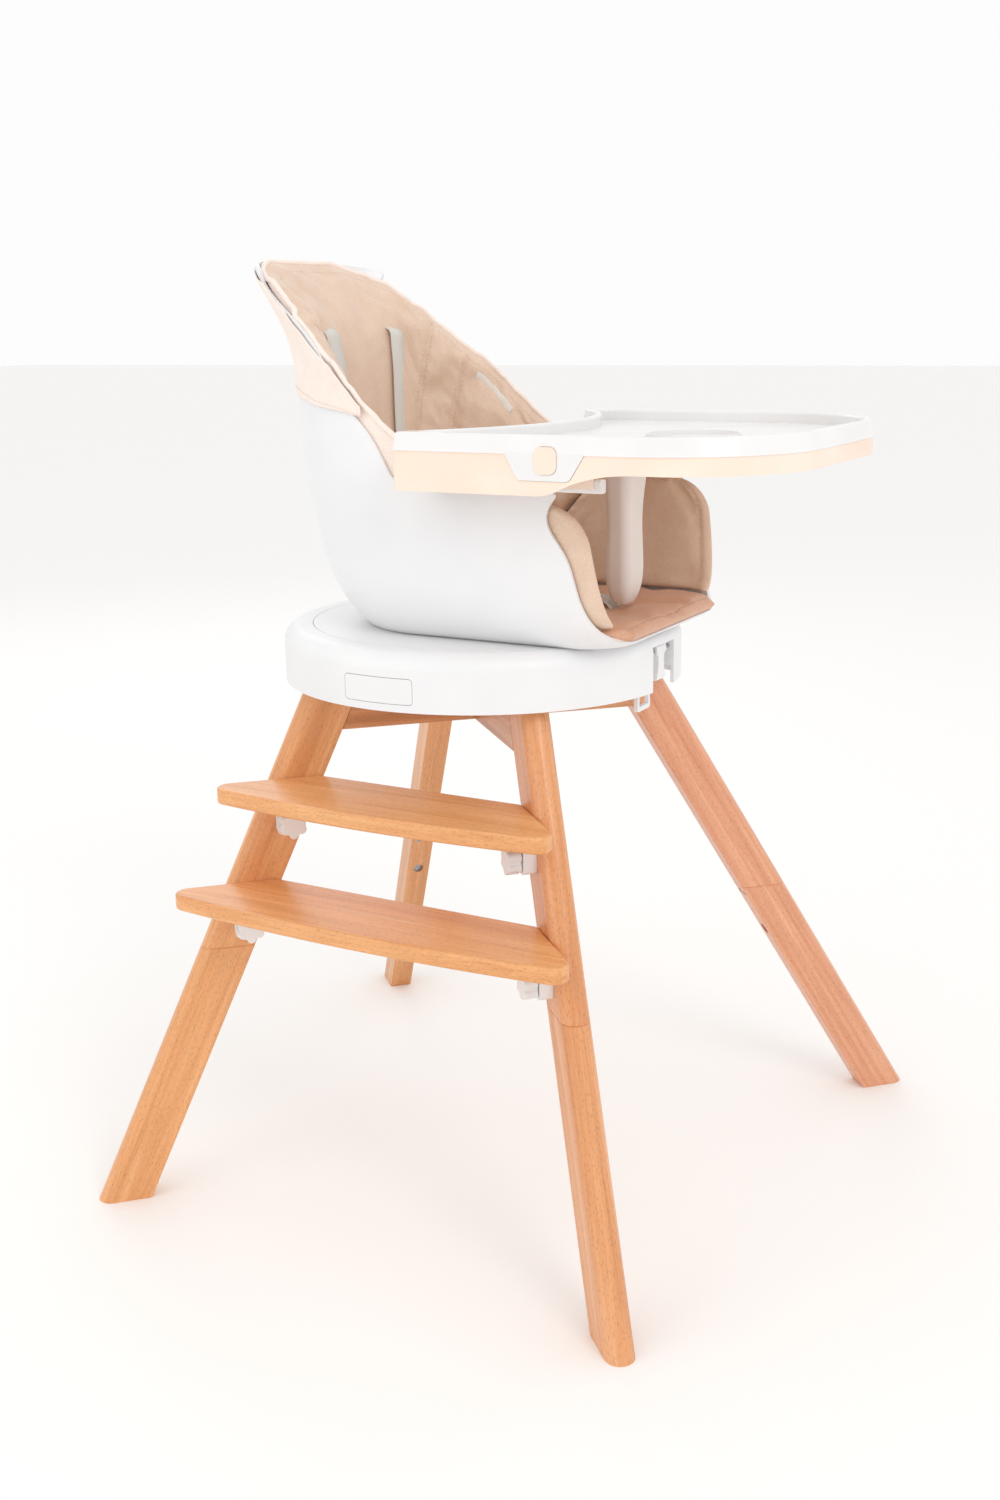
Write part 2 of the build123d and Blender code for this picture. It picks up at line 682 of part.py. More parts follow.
# the side wings stand on the pad's edges, the back stands behind them
wing_cavity = tub(skin + wing_thickness, skin + 4)
wing_foot = pad_top + liner_gap
with BuildSketch(Plane.YZ) as wing_face:
    with BuildLine():
        Polyline((wing_back, wing_foot), (wing_back, wing_top),
                 (wing_front_top, wing_top), (wing_front_foot, wing_foot), close=True)
    make_face()
    fillet(wing_face.vertices().group_by(Axis.Y)[1], wing_corner)
wing_form = extrude(wing_face.sketch, amount=200, both=True)
wing_halves = {"side_wing_near": box((-200, -260, housing_top), (-60, 100, above_seat)),
               "side_wing_far": box((60, -260, housing_top), (200, 100, above_seat))}
for name, half in wing_halves.items():
    keep(name, (cavity & wing_form & half) - wing_cavity)
back_zone = box((-200, wing_back + liner_gap, wing_foot), (200, 300, above_seat))
back_liner = (cavity & liner_side & back_zone) - back_cavity
keep("back_liner", back_liner)

# hood: the liner's cover over the outside of the shell's top
hood_out = tub(-hood_thickness - liner_gap)
hood_in = tub(-liner_gap)
hood_zone = box((-250, 40, hood_bottom), (250, 320, above_seat))
back_hood = (hood_out & shell_side & hood_zone) - hood_in
keep("back_hood", back_hood)

# ---------------------------------------------------------------- harness


def ribbon(points, thickness, width, centre_x):
    """A flat strap that follows points in the YZ plane, across a width in X."""
    outline = []
    for index, (y, z) in enumerate(points):
        before = points[max(index - 1, 0)]
        after = points[min(index + 1, len(points) - 1)]
        run = Vector(after[0] - before[0], after[1] - before[1]).normalized()
        outline.append((y - run.Y * thickness, z + run.X * thickness))
    loop = Polyline(*(points + outline[::-1]), close=True)
    face = make_face(Plane.YZ * loop)
    strap = extrude(face, amount=width / 2, both=True)
    return Pos(centre_x, 0, 0) * strap


strap_route = [(137.5, housing_top + 290), (120.0, housing_top + 254), (97.0, housing_top + 209),
               (76.5, housing_top + 160), (53.0, housing_top + 110), (10.0, housing_top + 74)]
for name, x in (("shoulder_strap_near", -shoulder_x), ("shoulder_strap_far", shoulder_x)):
    keep(name, ribbon(strap_route, strap_thickness, strap_width, x))
buckle_half = buckle_wide / 2
buckle = box((-buckle_half, -30, buckle_low), (buckle_half, -18, buckle_low + buckle_tall))
buckle = fillet(buckle.edges().filter_by(Axis.Y), 6.0)
keep("harness_buckle", buckle)
crotch_strap = ribbon([(-146.0, pad_underside + 0.2), (-146.4, pad_top + 3), (-60.0, pad_top + 14),
                       (-30.5, buckle_low + 6), (-30.2, buckle_low + 20)],
                      strap_thickness, strap_width + 2, 0)
laps = []
for side in (-1, 1):
    low_x, high_x = sorted((0.0, side * lap_reach))
    strap = box((low_x, -strap_thickness / 2, -lap_width / 2),
                (high_x, strap_thickness / 2, lap_width / 2))
    place = Pos(side * (buckle_half + 0.2), -24, buckle_low + 19)
    laps.append(place * Rot(0, 0, side * 7.0) * strap)
keep("lower_straps", crotch_strap, *laps)

# small blank tag on the liner's inner face, near the far rim
tag_skin = skin + side_thickness
tag_place = Plane(origin=(shell_half_width - 15, 88, housing_top + 248),
                  x_dir=(0, -0.77, -0.64), z_dir=(1, 0, 0))
tag_inset = 0.1 + tag_thickness
tag_outside = tub(tag_skin + 0.1, skin + 4, skin + back_thickness + 0.1)
tag_inside = tub(tag_skin + tag_inset, skin + 4, skin + back_thickness + tag_inset)
rim_tag = (tag_outside & (tag_place * Box(tag_long, tag_wide, 60))) - tag_inside
keep("rim_tag", rim_tag)
keep("seat_shell", seat_shell)

# ---------------------------------------------------------------- tray rails
rail_outer = shell_half_width + 1.0
rail_top = shell_side_rim + rail_height
rail_inner = rail_outer - rail_width
for name, side in (("tray_rail_near", -1), ("tray_rail_far", 1)):
    low_x, high_x = sorted((side * rail_inner, side * rail_outer))
    rail = box((low_x, rail_front, shell_side_rim), (high_x, rail_back, rail_top))
    keep(name, fillet(rail.edges().filter_by(Axis.Y), 2.0))

# ---------------------------------------------------------------- tray
# the belly cut is one arc, and every inset of the plan keeps its centre
belly_rise = tray_back - belly_depth
belly_radius = (belly_half_width ** 2 + belly_rise ** 2) / (2 * belly_rise)
belly_centre = belly_depth + belly_radius


def tray_plan(inset, height, arm_inset=0.0):
    """The tray's plan: a rounded front, and a wide belly cut between two short arms."""
    wide = tray_half_width - inset
    back = tray_back - inset - arm_inset
    front = tray_front + inset
    cut = belly_radius + inset
    belly = math.sqrt(cut ** 2 - (belly_centre - back) ** 2)
    with BuildSketch(Plane.XY.offset(height)) as plan:
        with BuildLine():
            Polyline((wide, front + 3), (wide, back), (belly, back))
            ThreePointArc((belly, back), (0, belly_centre - cut), (-belly, back))
            Polyline((-belly, back), (-wide, back), (-wide, front + 3))
            ThreePointArc((-wide, front + 3), (0, front - 1), (wide, front + 3))
        make_face()
        front_corners = plan.vertices().sort_by(Axis.Y)[:2]
        fillet(front_corners, tray_corner - inset)
        arm_ends = plan.vertices().sort_by(Axis.Y)[-4:]
        fillet(arm_ends, arm_corner)
    return plan.sketch


def tray_solid(inset, low, high, arm_inset=0.0, taper=0.0):
    return extrude(tray_plan(inset, low, arm_inset), amount=high - low, taper=taper)


rim_lean = math.degrees(math.atan(tray_rim_draft / (tray_rim_height - tray_seam_height)))
upper_tray = tray_solid(0.0, tray_seam_height, tray_rim_height, taper=rim_lean)
tray_floor = tray_seam_height + 5.0
upper_tray -= tray_solid(tray_rim_width, tray_floor, tray_rim_height + 5, recess_arm_inset)
rim_top = upper_tray.faces().sort_by(Axis.Z)[-1]
upper_tray = fillet(rim_top.edges(), tray_rim_round)
cup_ring = Pos(-30, -240, tray_floor) * Cylinder(44, 4, align=(Align.CENTER, Align.CENTER, Align.MIN))
cup_ring -= Pos(-30, -240, tray_floor) * Cylinder(41, 4, align=(Align.CENTER, Align.CENTER, Align.MIN))
upper_tray += cup_ring

deck_under = tray_seam_height - tray_wall
lower_tray = tray_solid(1.0, tray_skirt_bottom, tray_seam_height)
lower_tray -= tray_solid(1.0 + tray_wall, tray_skirt_bottom - 5, deck_under)
# the skirt is shallow across the front and deep beside the child
with BuildSketch(Plane.YZ) as skirt_cut:
    with BuildLine():
        Line((-420, tray_skirt_bottom - 10), (-160, tray_skirt_bottom - 10))
        Line((-160, tray_skirt_bottom - 10), (-168, tray_skirt_bottom))
        Spline((-168, tray_skirt_bottom), (-196, tray_skirt_bottom + 9),
               (-224, tray_front_bottom - 2), (-300, tray_front_bottom),
               tangents=((-1, 0.05), (-1, 0)))
        Line((-300, tray_front_bottom), (-420, tray_front_bottom))
        Line((-420, tray_front_bottom), (-420, tray_skirt_bottom - 10))
    make_face()
lower_tray -= extrude(skirt_cut.sketch, amount=300, both=True)


def tongue_face(gap, x):
    """The tongue's outline on the tray's side, wide at the rim and narrow below."""
    top = tray_seam_height + 1
    with BuildSketch(Plane.YZ.offset(x)) as face:
        with BuildLine():
            Polyline((-213 - gap, top), (-137 + gap, top), (-150 + gap, tongue_bottom - gap),
                     (-198 - gap, tongue_bottom - gap), close=True)
        make_face()
        fillet(face.vertices().group_by(Axis.Y)[0], tongue_corner)
    return face.sketch


def button_face(gap, x):
    """The button's rounded outline, or with a gap its hole."""
    with BuildSketch(Plane.YZ.offset(x)) as face:
        with Locations((button_y, button_height)):
            RectangleRounded(button_width + 2 * gap, button_tall + 2 * gap, button_corner + gap)
    return face.sketch


button_springs = []
stem_z = button_height - 5.0
lug_place = tray_half_width - lug_inset
button_inner = tray_half_width + button_proud - button_head
pressed_inner = button_inner - button_travel - 0.5
stem_inner = lug_place - 2
for label, side in (("near", -1), ("far", 1)):
    def span(inner, outer):
        return sorted((side * inner, side * outer))

    # runners that hold the rail from above and outside
    low_x, high_x = span(rail_inner + 1, rail_outer + rail_gap + 3)
    runner = box((low_x, -200, rail_top + rail_gap), (high_x, -62, deck_under))
    low_x, high_x = span(rail_outer + rail_gap, rail_outer + rail_gap + 3)
    runner += box((low_x, -200, shell_side_rim + 4), (high_x, -62, deck_under))
    lower_tray += runner
    # the rail's own way through the tray's rear wall
    low_x, high_x = span(rail_inner - 1, rail_outer + rail_gap)
    lower_tray -= box((low_x, rail_front - 90, tray_skirt_bottom - 5),
                      (high_x, tray_back + 10, rail_top + rail_gap))
    # the upper tray's tongue, which fills a window in the lower tray's side
    tongue_inner = tray_half_width - tongue_thickness
    low_x, high_x = span(tongue_inner, tray_half_width)
    tongue = extrude(tongue_face(0.0, low_x), amount=high_x - low_x)
    low_x, high_x = span(tongue_inner - 1, tray_half_width + 1)
    window = extrude(tongue_face(button_gap, low_x), amount=high_x - low_x)
    low_x, high_x = span(pressed_inner, tray_half_width + 1)
    hole = extrude(button_face(button_gap, low_x), amount=high_x - low_x)
    low_x, high_x = span(lug_place, lug_place + lug_thickness)
    lug = box((low_x, button_y - 6, stem_z - 6), (high_x, button_y + 6, tray_floor))
    lug -= rod((low_x - 1, button_y, stem_z), (1, 0, 0), button_stem_radius + button_gap, lug_thickness + 2)
    upper_tray = (upper_tray + tongue) - hole
    upper_tray += lug
    low_x, high_x = span(stem_inner - button_travel - 0.5, tray_half_width + 2)
    lift_way = box((low_x, button_y - button_width / 2 - 2, stem_z - 8),
                   (high_x, button_y + button_width / 2 + 2, tray_seam_height + 1))
    lower_tray -= window
    lower_tray -= lift_way
    # the button, guided by its stem in the lug
    low_x, high_x = span(button_inner, tray_half_width + button_proud)
    button = extrude(button_face(0.0, low_x), amount=high_x - low_x)
    low_x, high_x = span(stem_inner, button_inner + 1)
    button += rod((low_x, button_y, stem_z), (1, 0, 0), button_stem_radius, high_x - low_x)
    keep("tray_button_" + label, button)
    low_x, high_x = span(lug_place + lug_thickness, pressed_inner)
    button_springs.append(ring((low_x, button_y, stem_z), (1, 0, 0), 5.0, 3.5, high_x - low_x))
keep("tray_button_springs", *button_springs)

# crotch post under the lower tray
post_levels = [(post_bottom, 12.0, 6.5), (post_bottom + 6, 16.0, 9.5), (pad_top + 69, 21.0, 12.5),
               (tray_skirt_bottom, 25.0, 15.0), (deck_under, 26.0, 16.0)]
post_plans = []
for height, half_x, half_y in post_levels:
    with BuildSketch(Plane.XY.offset(height)) as plan:
        with Locations((0, post_y)):
            RectangleRounded(2 * half_x, 2 * half_y, half_y * 0.7)
    post_plans.append(plan.sketch)
crotch_post = loft(post_plans)
keep("crotch_post", crotch_post)
keep("lower_tray", lower_tray)
keep("upper_tray", upper_tray)

for name, solids in nodes.items():
    group = Compound(children=list(solids)) if len(solids) > 1 else solids[0]
    export_step(group, "parts/" + name + ".step")
print("wrote", len(nodes), "nodes")
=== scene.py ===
import math
import bpy
import bmesh
from mathutils import Matrix, Vector
from mathutils.bvhtree import BVHTree
from mathutils.kdtree import KDTree


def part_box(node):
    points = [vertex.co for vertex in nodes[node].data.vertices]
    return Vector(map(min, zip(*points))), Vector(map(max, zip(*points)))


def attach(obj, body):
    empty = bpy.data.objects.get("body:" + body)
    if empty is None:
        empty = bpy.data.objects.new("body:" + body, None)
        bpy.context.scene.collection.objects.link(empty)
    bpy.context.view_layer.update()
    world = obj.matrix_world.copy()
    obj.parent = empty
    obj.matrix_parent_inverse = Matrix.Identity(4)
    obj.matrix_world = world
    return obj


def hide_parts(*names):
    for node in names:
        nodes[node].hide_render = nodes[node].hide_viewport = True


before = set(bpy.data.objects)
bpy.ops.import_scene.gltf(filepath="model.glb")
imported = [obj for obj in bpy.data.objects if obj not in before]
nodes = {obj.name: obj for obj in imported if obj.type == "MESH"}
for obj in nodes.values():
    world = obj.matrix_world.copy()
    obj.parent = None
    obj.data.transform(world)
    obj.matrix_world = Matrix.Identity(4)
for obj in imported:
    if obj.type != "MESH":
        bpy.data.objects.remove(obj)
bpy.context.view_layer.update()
mm = 0.001
print("frame loaded:", len(nodes), "nodes")


# ---- small tools

def hexColour(code):
    # sRGB hex to the linear colour that the shader wants
    values = [int(code[i:i + 2], 16) / 255 for i in (0, 2, 4)]
    return tuple(v / 12.92 if v <= 0.04045 else ((v + 0.055) / 1.055) ** 2.4 for v in values) + (1.0,)


def addNode(tree, kind, values=None, links=None):
    # values are properties or sockets, links are socket: (node, output)
    node = tree.nodes.new("ShaderNode" + kind)
    for key, value in (values or {}).items():
        if isinstance(key, str) and hasattr(node, key):
            setattr(node, key, value)
        else:
            node.inputs[key].default_value = value
    for key, (source, output) in (links or {}).items():
        tree.links.new(source.outputs[output], node.inputs[key])
    return node


def newMaterial(name, settings):
    material = bpy.data.materials.new(name)
    material.use_nodes = True
    tree = material.node_tree
    shader = tree.nodes["Principled BSDF"]
    for socket, value in settings.items():
        shader.inputs[socket].default_value = value
    return material, tree, shader


def stretched(tree, size, turn=(0, 0, 0), shift=(0, 0, 0)):
    # object coordinates divided by a real size in millimetres, turned to the piece's own direction
    spot = addNode(tree, "TexCoord")
    return addNode(tree, "Mapping", {"vector_type": "TEXTURE", "Location": shift, "Rotation": turn,
                                     "Scale": tuple(s * mm for s in size)}, {"Vector": (spot, "Object")})


def ramp(tree, source, output, stops):
    node = addNode(tree, "ValToRGB", links={"Fac": (source, output)})
    marks = node.color_ramp.elements
    while len(marks) < len(stops):
        marks.new(0.5)
    for mark, (place, colour) in zip(marks, stops):
        mark.position = place
        mark.color = colour
    return node


def grey(value):
    return (value, value, value, 1.0)


# ---- materials

beech = {"bandWidth": 11.0, "bandLength": 340.0,     # mm, growth bands along the piece
         "fibreWidth": 1.1, "fibreLength": 70.0,
         "rayWidth": 1.3, "rayLength": 6.5,          # beech's short dark rays, drawn a little coarse to show
         "rayDepth": 0.20, "bump": 0.10}


def steamedBeech(name, along, pale, mid, dark, seed):
    # Steamed beech, planed and clear lacquered: warm tan, close grain, short darker rays, a satin shine
    material, tree, shader = newMaterial(name, {"Roughness": 0.42, "Coat Weight": 0.35,
                                                "Coat Roughness": 0.22, "IOR": 1.5})
    turn = Vector((0, 0, 1)).rotation_difference(Vector(along)).to_euler()
    shift = (0.31 * seed, 0.17 * seed, 0.23 * seed)
    bands = stretched(tree, (beech["bandWidth"],) * 2 + (beech["bandLength"],), turn, shift)
    bandNoise = addNode(tree, "TexNoise", {"Scale": 1.0, "Detail": 4.0, "Roughness": 0.55,
                                           "Distortion": 0.7}, {"Vector": (bands, 0)})
    base = ramp(tree, bandNoise, "Fac", [(0.28, hexColour(dark)), (0.5, hexColour(mid)),
                                        (0.72, hexColour(pale))])
    fibres = stretched(tree, (beech["fibreWidth"],) * 2 + (beech["fibreLength"],), turn, shift)
    fibreNoise = addNode(tree, "TexNoise", {"Scale": 1.0, "Detail": 2.0}, {"Vector": (fibres, 0)})
    fibreTone = ramp(tree, fibreNoise, "Fac", [(0.3, grey(0.86)), (0.7, grey(1.06))])
    withFibres = addNode(tree, "Mix", {"data_type": "RGBA", "blend_type": "MULTIPLY", 0: 0.8},
                         {6: (base, 0), 7: (fibreTone, 0)})
    rays = stretched(tree, (beech["rayWidth"],) * 2 + (beech["rayLength"],), turn, shift)
    rayCells = addNode(tree, "TexVoronoi", {"Scale": 1.0, "Randomness": 1.0}, {"Vector": (rays, 0)})
    rayTone = ramp(tree, rayCells, "Distance", [(0.12, grey(1 - beech["rayDepth"] * 1.6)),
                                               (0.34, grey(1.0))])
    finished = addNode(tree, "Mix", {"data_type": "RGBA", "blend_type": "MULTIPLY", 0: 1.0},
                       {6: (withFibres, 2), 7: (rayTone, 0)})
    tree.links.new(finished.outputs[2], shader.inputs["Base Color"])
    bump = addNode(tree, "Bump", {"Strength": beech["bump"], "Distance": 0.2 * mm},
                   {"Height": (fibreNoise, "Fac")})
    tree.links.new(bump.outputs[0], shader.inputs["Normal"])
    return material


def mouldedPlastic(name, colour, shade, roughness, texture=0.5, bump=0.06, settings=None):
    # Injection moulded ABS or PP: even colour, a fine spark-eroded skin that breaks the highlight,
    # and the faint slow unevenness of a large moulding
    material, tree, shader = newMaterial(name, {"Roughness": roughness, "IOR": 1.53,
                                                "Subsurface Weight": 0.06,
                                                "Subsurface Radius": (1.0, 0.9, 0.8),
                                                "Subsurface Scale": 1.5 * mm, **(settings or {})})
    slow = addNode(tree, "TexNoise", {"Scale": 1 / (90 * mm), "Detail": 2.0},
                   {"Vector": (addNode(tree, "TexCoord"), "Object")})
    tone = ramp(tree, slow, "Fac", [(0.35, hexColour(shade)), (0.65, hexColour(colour))])
    tree.links.new(tone.outputs[0], shader.inputs["Base Color"])
    grain = addNode(tree, "TexNoise", {"Scale": 1 / (texture * mm), "Detail": 2.0},
                    {"Vector": (addNode(tree, "TexCoord"), "Object")})
    rough = addNode(tree, "MapRange", {"To Min": roughness - 0.05, "To Max": roughness + 0.06},
                    {"Value": (slow, "Fac")})
    tree.links.new(rough.outputs[0], shader.inputs["Roughness"])
    relief = addNode(tree, "Bump", {"Strength": bump, "Distance": 0.1 * mm}, {"Height": (grain, "Fac")})
    tree.links.new(relief.outputs[0], shader.inputs["Normal"])
    return material


leather = {"pebble": 1.5, "crease": 26.0}     # mm: embossed pebbles, and the soft creases of use


def syntheticLeather(name, colour, shade, roughness=0.5, bump=0.35):
    # PU leather on foam: a close embossed pebble, slightly waxy shine, and painted shade: the colour a touch
    # darker in the creases and between the pebbles
    material, tree, shader = newMaterial(name, {"Roughness": roughness, "IOR": 1.46,
                                                "Sheen Weight": 0.15, "Sheen Roughness": 0.5,
                                                "Coat Weight": 0.08, "Coat Roughness": 0.45})
    spot = addNode(tree, "TexCoord")
    cells = addNode(tree, "TexVoronoi", {"feature": "SMOOTH_F1", "Scale": 1 / (leather["pebble"] * mm),
                                         "Smoothness": 0.6}, {"Vector": (spot, "Object")})
    creases = addNode(tree, "TexNoise", {"Scale": 1 / (leather["crease"] * mm), "Detail": 5.0,
                                         "Roughness": 0.6}, {"Vector": (spot, "Object")})
    # painted shade: the shade colour follows the creases, and the pebbles' borders are darkened
    tone = ramp(tree, creases, "Fac", [(0.3, hexColour(shade)), (0.7, hexColour(colour))])
    pitShade = ramp(tree, cells, "Distance", [(0.2, grey(1.02)), (0.8, grey(0.93))])
    finished = addNode(tree, "Mix", {"data_type": "RGBA", "blend_type": "MULTIPLY", 0: 1.0},
                       {6: (tone, 0), 7: (pitShade, 0)})
    tree.links.new(finished.outputs[2], shader.inputs["Base Color"])
    together = addNode(tree, "Math", {"operation": "MULTIPLY_ADD", 1: 1.6},
                       {0: (creases, "Fac"), 2: (cells, "Distance")})
    relief = addNode(tree, "Bump", {"Strength": bump, "Distance": 0.35 * mm, "invert": True},
                     {"Height": (together, 0)})
    tree.links.new(relief.outputs[0], shader.inputs["Normal"])
    return material


webbing = {"thread": 1.4}     # mm between threads, drawn coarse to show


def wovenWebbing(name, colour, shade):
    # Polyester webbing: plain weave, threads across and along, soft shine on each thread, and painted shade
    # darkening the weave where the threads dip
    material, tree, shader = newMaterial(name, {"Roughness": 0.72, "Sheen Weight": 0.35,
                                                "Sheen Roughness": 0.4})
    spot = addNode(tree, "TexCoord")
    split = addNode(tree, "SeparateXYZ", links={"Vector": (spot, "UV")})
    waves = []
    for axis in ("X", "Y"):
        turns = addNode(tree, "Math", {"operation": "MULTIPLY", 1: 2 * math.pi / (webbing["thread"] * mm)},
                        {0: (split, axis)})
        waves.append(addNode(tree, "Math", {"operation": "SINE"}, {0: (turns, 0)}))
    weave = addNode(tree, "Math", {"operation": "MULTIPLY"}, {0: (waves[0], 0), 1: (waves[1], 0)})
    height = addNode(tree, "MapRange", {"From Min": -1.0}, {"Value": (weave, 0)})
    # painted shade: the weave's low points take the darker shade colour
    tone = ramp(tree, height, "Result", [(0.1, hexColour(shade)), (0.8, hexColour(colour))])
    tree.links.new(tone.outputs[0], shader.inputs["Base Color"])
    relief = addNode(tree, "Bump", {"Strength": 0.5, "Distance": 0.3 * mm}, {"Height": (height, "Result")})
    tree.links.new(relief.outputs[0], shader.inputs["Normal"])
    return material


def zincPlatedSteel(name):
    # Zinc plated steel: bluish grey, cloudy crystals, fine drawing marks
    material, tree, shader = newMaterial(name, {"Metallic": 1.0, "Roughness": 0.36})
    spot = addNode(tree, "TexCoord")
    clouds = addNode(tree, "TexNoise", {"Scale": 1 / (4 * mm), "Detail": 3.0}, {"Vector": (spot, "Object")})
    tone = ramp(tree, clouds, "Fac", [(0.3, hexColour("8E9196")), (0.7, hexColour("B9BCC0"))])
    tree.links.new(tone.outputs[0], shader.inputs["Base Color"])
    rough = addNode(tree, "MapRange", {"To Min": 0.25, "To Max": 0.5}, {"Value": (clouds, "Fac")})
    tree.links.new(rough.outputs[0], shader.inputs["Roughness"])
    return material


def sewingThread(name, colour):
    # Bonded polyester thread: two plies twisted together, slightly glossy, with a painted highlight along
    # each ply's twist
    material, tree, shader = newMaterial(name, {"Roughness": 0.5, "Sheen Weight": 0.3})
    spot = addNode(tree, "TexCoord")
    plyHighlight = addNode(tree, "TexWave", {"Scale": 1 / (1.2 * mm), "Distortion": 2.0},
                    {"Vector": (spot, "Object")})
    # painted highlight: the twist's stripes run from the thread colour to near white
    tone = ramp(tree, plyHighlight, "Fac", [(0.0, hexColour(colour)), (1.0, hexColour("FFF6EC"))])
    tree.links.new(tone.outputs[0], shader.inputs["Base Color"])
    return material


whiteSatinAbs = mouldedPlastic("white satin ABS", "ECECEC", "E8E8E9", 0.42)
whiteShellPp = mouldedPlastic("white moulded PP", "EDEDEE", "E9E9EB", 0.30, 0.8, 0.04)
whiteTrayAbs = mouldedPlastic("white polished ABS", "ECEBEA", "E8E6E5", 0.22, 0.9, 0.03)
peachAbs = mouldedPlastic("peach ABS", "FBE6D6", "F6DCC8", 0.34, 0.8, 0.04)
postAbs = mouldedPlastic("grey-white satin ABS", "EDE6E2", "E6DDD8", 0.5)
greyAcetal = mouldedPlastic("grey acetal", "B9B7B4", "A9A7A4", 0.38)
linerInside = syntheticLeather("beige PU leather", "E6CBB5", "DDBFA7")
linerSeat = syntheticLeather("tan PU leather", "D9A98A", "CF9C7C", 0.44)
linerOutside = syntheticLeather("cream PU leather", "FBEDE4", "F6E4D8", 0.55, 0.2)
strapWebbing = wovenWebbing("polyester webbing", "E4E1DB", "C9C5BD")
plainTag = wovenWebbing("woven tag ribbon", "F4F0EA", "E4DED6")
zincSteel = zincPlatedSteel("zinc plated steel")
beigeThread = sewingThread("beige thread", "C89A7A")


def lengthwise(name):
    # from the middle of a leg's foot to the middle of its top
    points = [v.co for v in nodes[name].data.vertices]
    low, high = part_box(name)
    foot = [p for p in points if p.z < low.z + 2 * mm]
    top = [p for p in points if p.z > high.z - 2 * mm]
    middle = [sum(group, Vector()) / len(group) for group in (foot, top)]
    return (middle[1] - middle[0]).normalized()


def paint(name, material):
    piece = nodes[name]
    piece.data.materials.clear()
    piece.data.materials.append(material)
    for face in piece.data.polygons:
        face.material_index = 0


legTones = {"step_rear": ("F0B47E", "E6A268", "D58F56"), "step_front": ("EDB081", "E29C66", "CE8650"),
            "far_rear": ("E9AD78", "DB9860", "C98650"), "far_front": ("EDB08A", "E29E78", "D28A63")}
for index, (corner, tones) in enumerate(legTones.items()):
    for piece, part in enumerate(("upper_leg_", "lower_leg_")):
        name = part + corner
        paint(name, steamedBeech("steamed beech " + name, lengthwise(name), *tones, 3 * index + piece + 1))
# painted shade: the cross beams' beech gets darker tones than the legs' for the shade the beams sit in
shadedBeamTones = ("E3A777", "D4925F", "C07E4D")
for name, ahead, seed in (("under", (1, -1, 0), 15), ("over", (1, 1, 0), 16)):
    paint("cross_beam_" + name, steamedBeech("steamed beech %s beam" % name, ahead, *shadedBeamTones, seed))
for index, name in enumerate(("upper_step", "lower_step")):
    paint(name, steamedBeech("honey beech " + name, (0, 1, 0), "F1B57A", "E8A468", "DA9253", 20 + index))

plainFinishes = {
    whiteSatinAbs: ["turntable_housing", "base_plate", "lock_panel", "latch_lever", "pull_tab",
                    "turntable_disc", "tray_rail_near", "tray_rail_far"]
    + [n for n in nodes if "step_bracket" in n or "step_knob" in n],
    whiteShellPp: ["seat_shell"], whiteTrayAbs: ["upper_tray"], postAbs: ["crotch_post"],
    peachAbs: ["lower_tray", "tray_button_near", "tray_button_far"],
    zincSteel: ["leg_joint_bolts", "leg_barrel_nuts", "leg_joint_screws", "bracket_screws", "knob_studs",
                "plate_screws", "king_pin", "king_pin_nut", "bearing_balls", "lock_panel_spring", "latch_pin",
                "latch_spring", "seat_screws", "tray_button_springs"],
    linerInside: ["back_liner", "side_wing_near", "side_wing_far"], linerSeat: ["seat_pad"],
    linerOutside: ["back_hood"], greyAcetal: ["harness_buckle"], plainTag: ["rim_tag"],
    strapWebbing: ["shoulder_strap_near", "shoulder_strap_far", "lower_straps"]}
for material, names in plainFinishes.items():
    for name in names:
        paint(name, material)
print("plain finishes on", sum(len(names) for names in plainFinishes.values()), "nodes")


# ---- tools for the soft pieces

trees = {}


def surfacePoint(name, start, direction):
    # where a ray first meets a CAD node
    if name not in trees:
        mesh = nodes[name].data
        trees[name] = BVHTree.FromPolygons([v.co for v in mesh.vertices],
                                           [tuple(p.vertices) for p in mesh.polygons])
    return trees[name].ray_cast(Vector(start), Vector(direction).normalized())[0]


def along(table, place):
    # a value read off a short table, with straight runs between its points
    for (low, lowValue), (high, highValue) in zip(table, table[1:]):
        if place <= high:
            share = max(0.0, (place - low) / (high - low))
            return lowValue + (highValue - lowValue) * share
    return table[-1][1]


def makePiece(name, points, faces, materials, chosen=None):
    mesh = bpy.data.meshes.new(name)
    mesh.from_pydata([tuple(p) for p in points], [], faces)
    for material in materials:
        mesh.materials.append(material)
    for index, face in enumerate(mesh.polygons):
        face.use_smooth = True
        face.material_index = chosen[index] if chosen else 0
    piece = bpy.data.objects.new(name, mesh)
    bpy.context.scene.collection.objects.link(piece)
    work = bmesh.new()
    work.from_mesh(mesh)
    bmesh.ops.recalc_face_normals(work, faces=work.faces)
    work.to_mesh(mesh)
    work.free()
    return piece


def pillowMesh(name, front, rear, materials):
    # a closed cushion from two grids of points, its edges joined all round
    rows, columns = len(front), len(front[0])
    points = [p for row in front for p in row] + [p for row in rear for p in row]
    behind = rows * columns
    faces, chosen = [], []
    for r in range(rows - 1):
        for c in range(columns - 1):
            a = r * columns + c
            faces.append((a, a + 1, a + columns + 1, a + columns))
            faces.append((behind + a, behind + a + columns, behind + a + columns + 1, behind + a + 1))
            chosen += [0, 1]
    rim = [c for c in range(columns)]
    rim += [r * columns + columns - 1 for r in range(1, rows)]
    rim += [(rows - 1) * columns + c for c in range(columns - 2, -1, -1)]
    rim += [r * columns for r in range(rows - 2, 0, -1)]
    for a, b in zip(rim, rim[1:] + rim[:1]):
        faces.append((a, behind + a, behind + b, b))
        chosen.append(0)
    return makePiece(name, points, faces, materials, chosen)


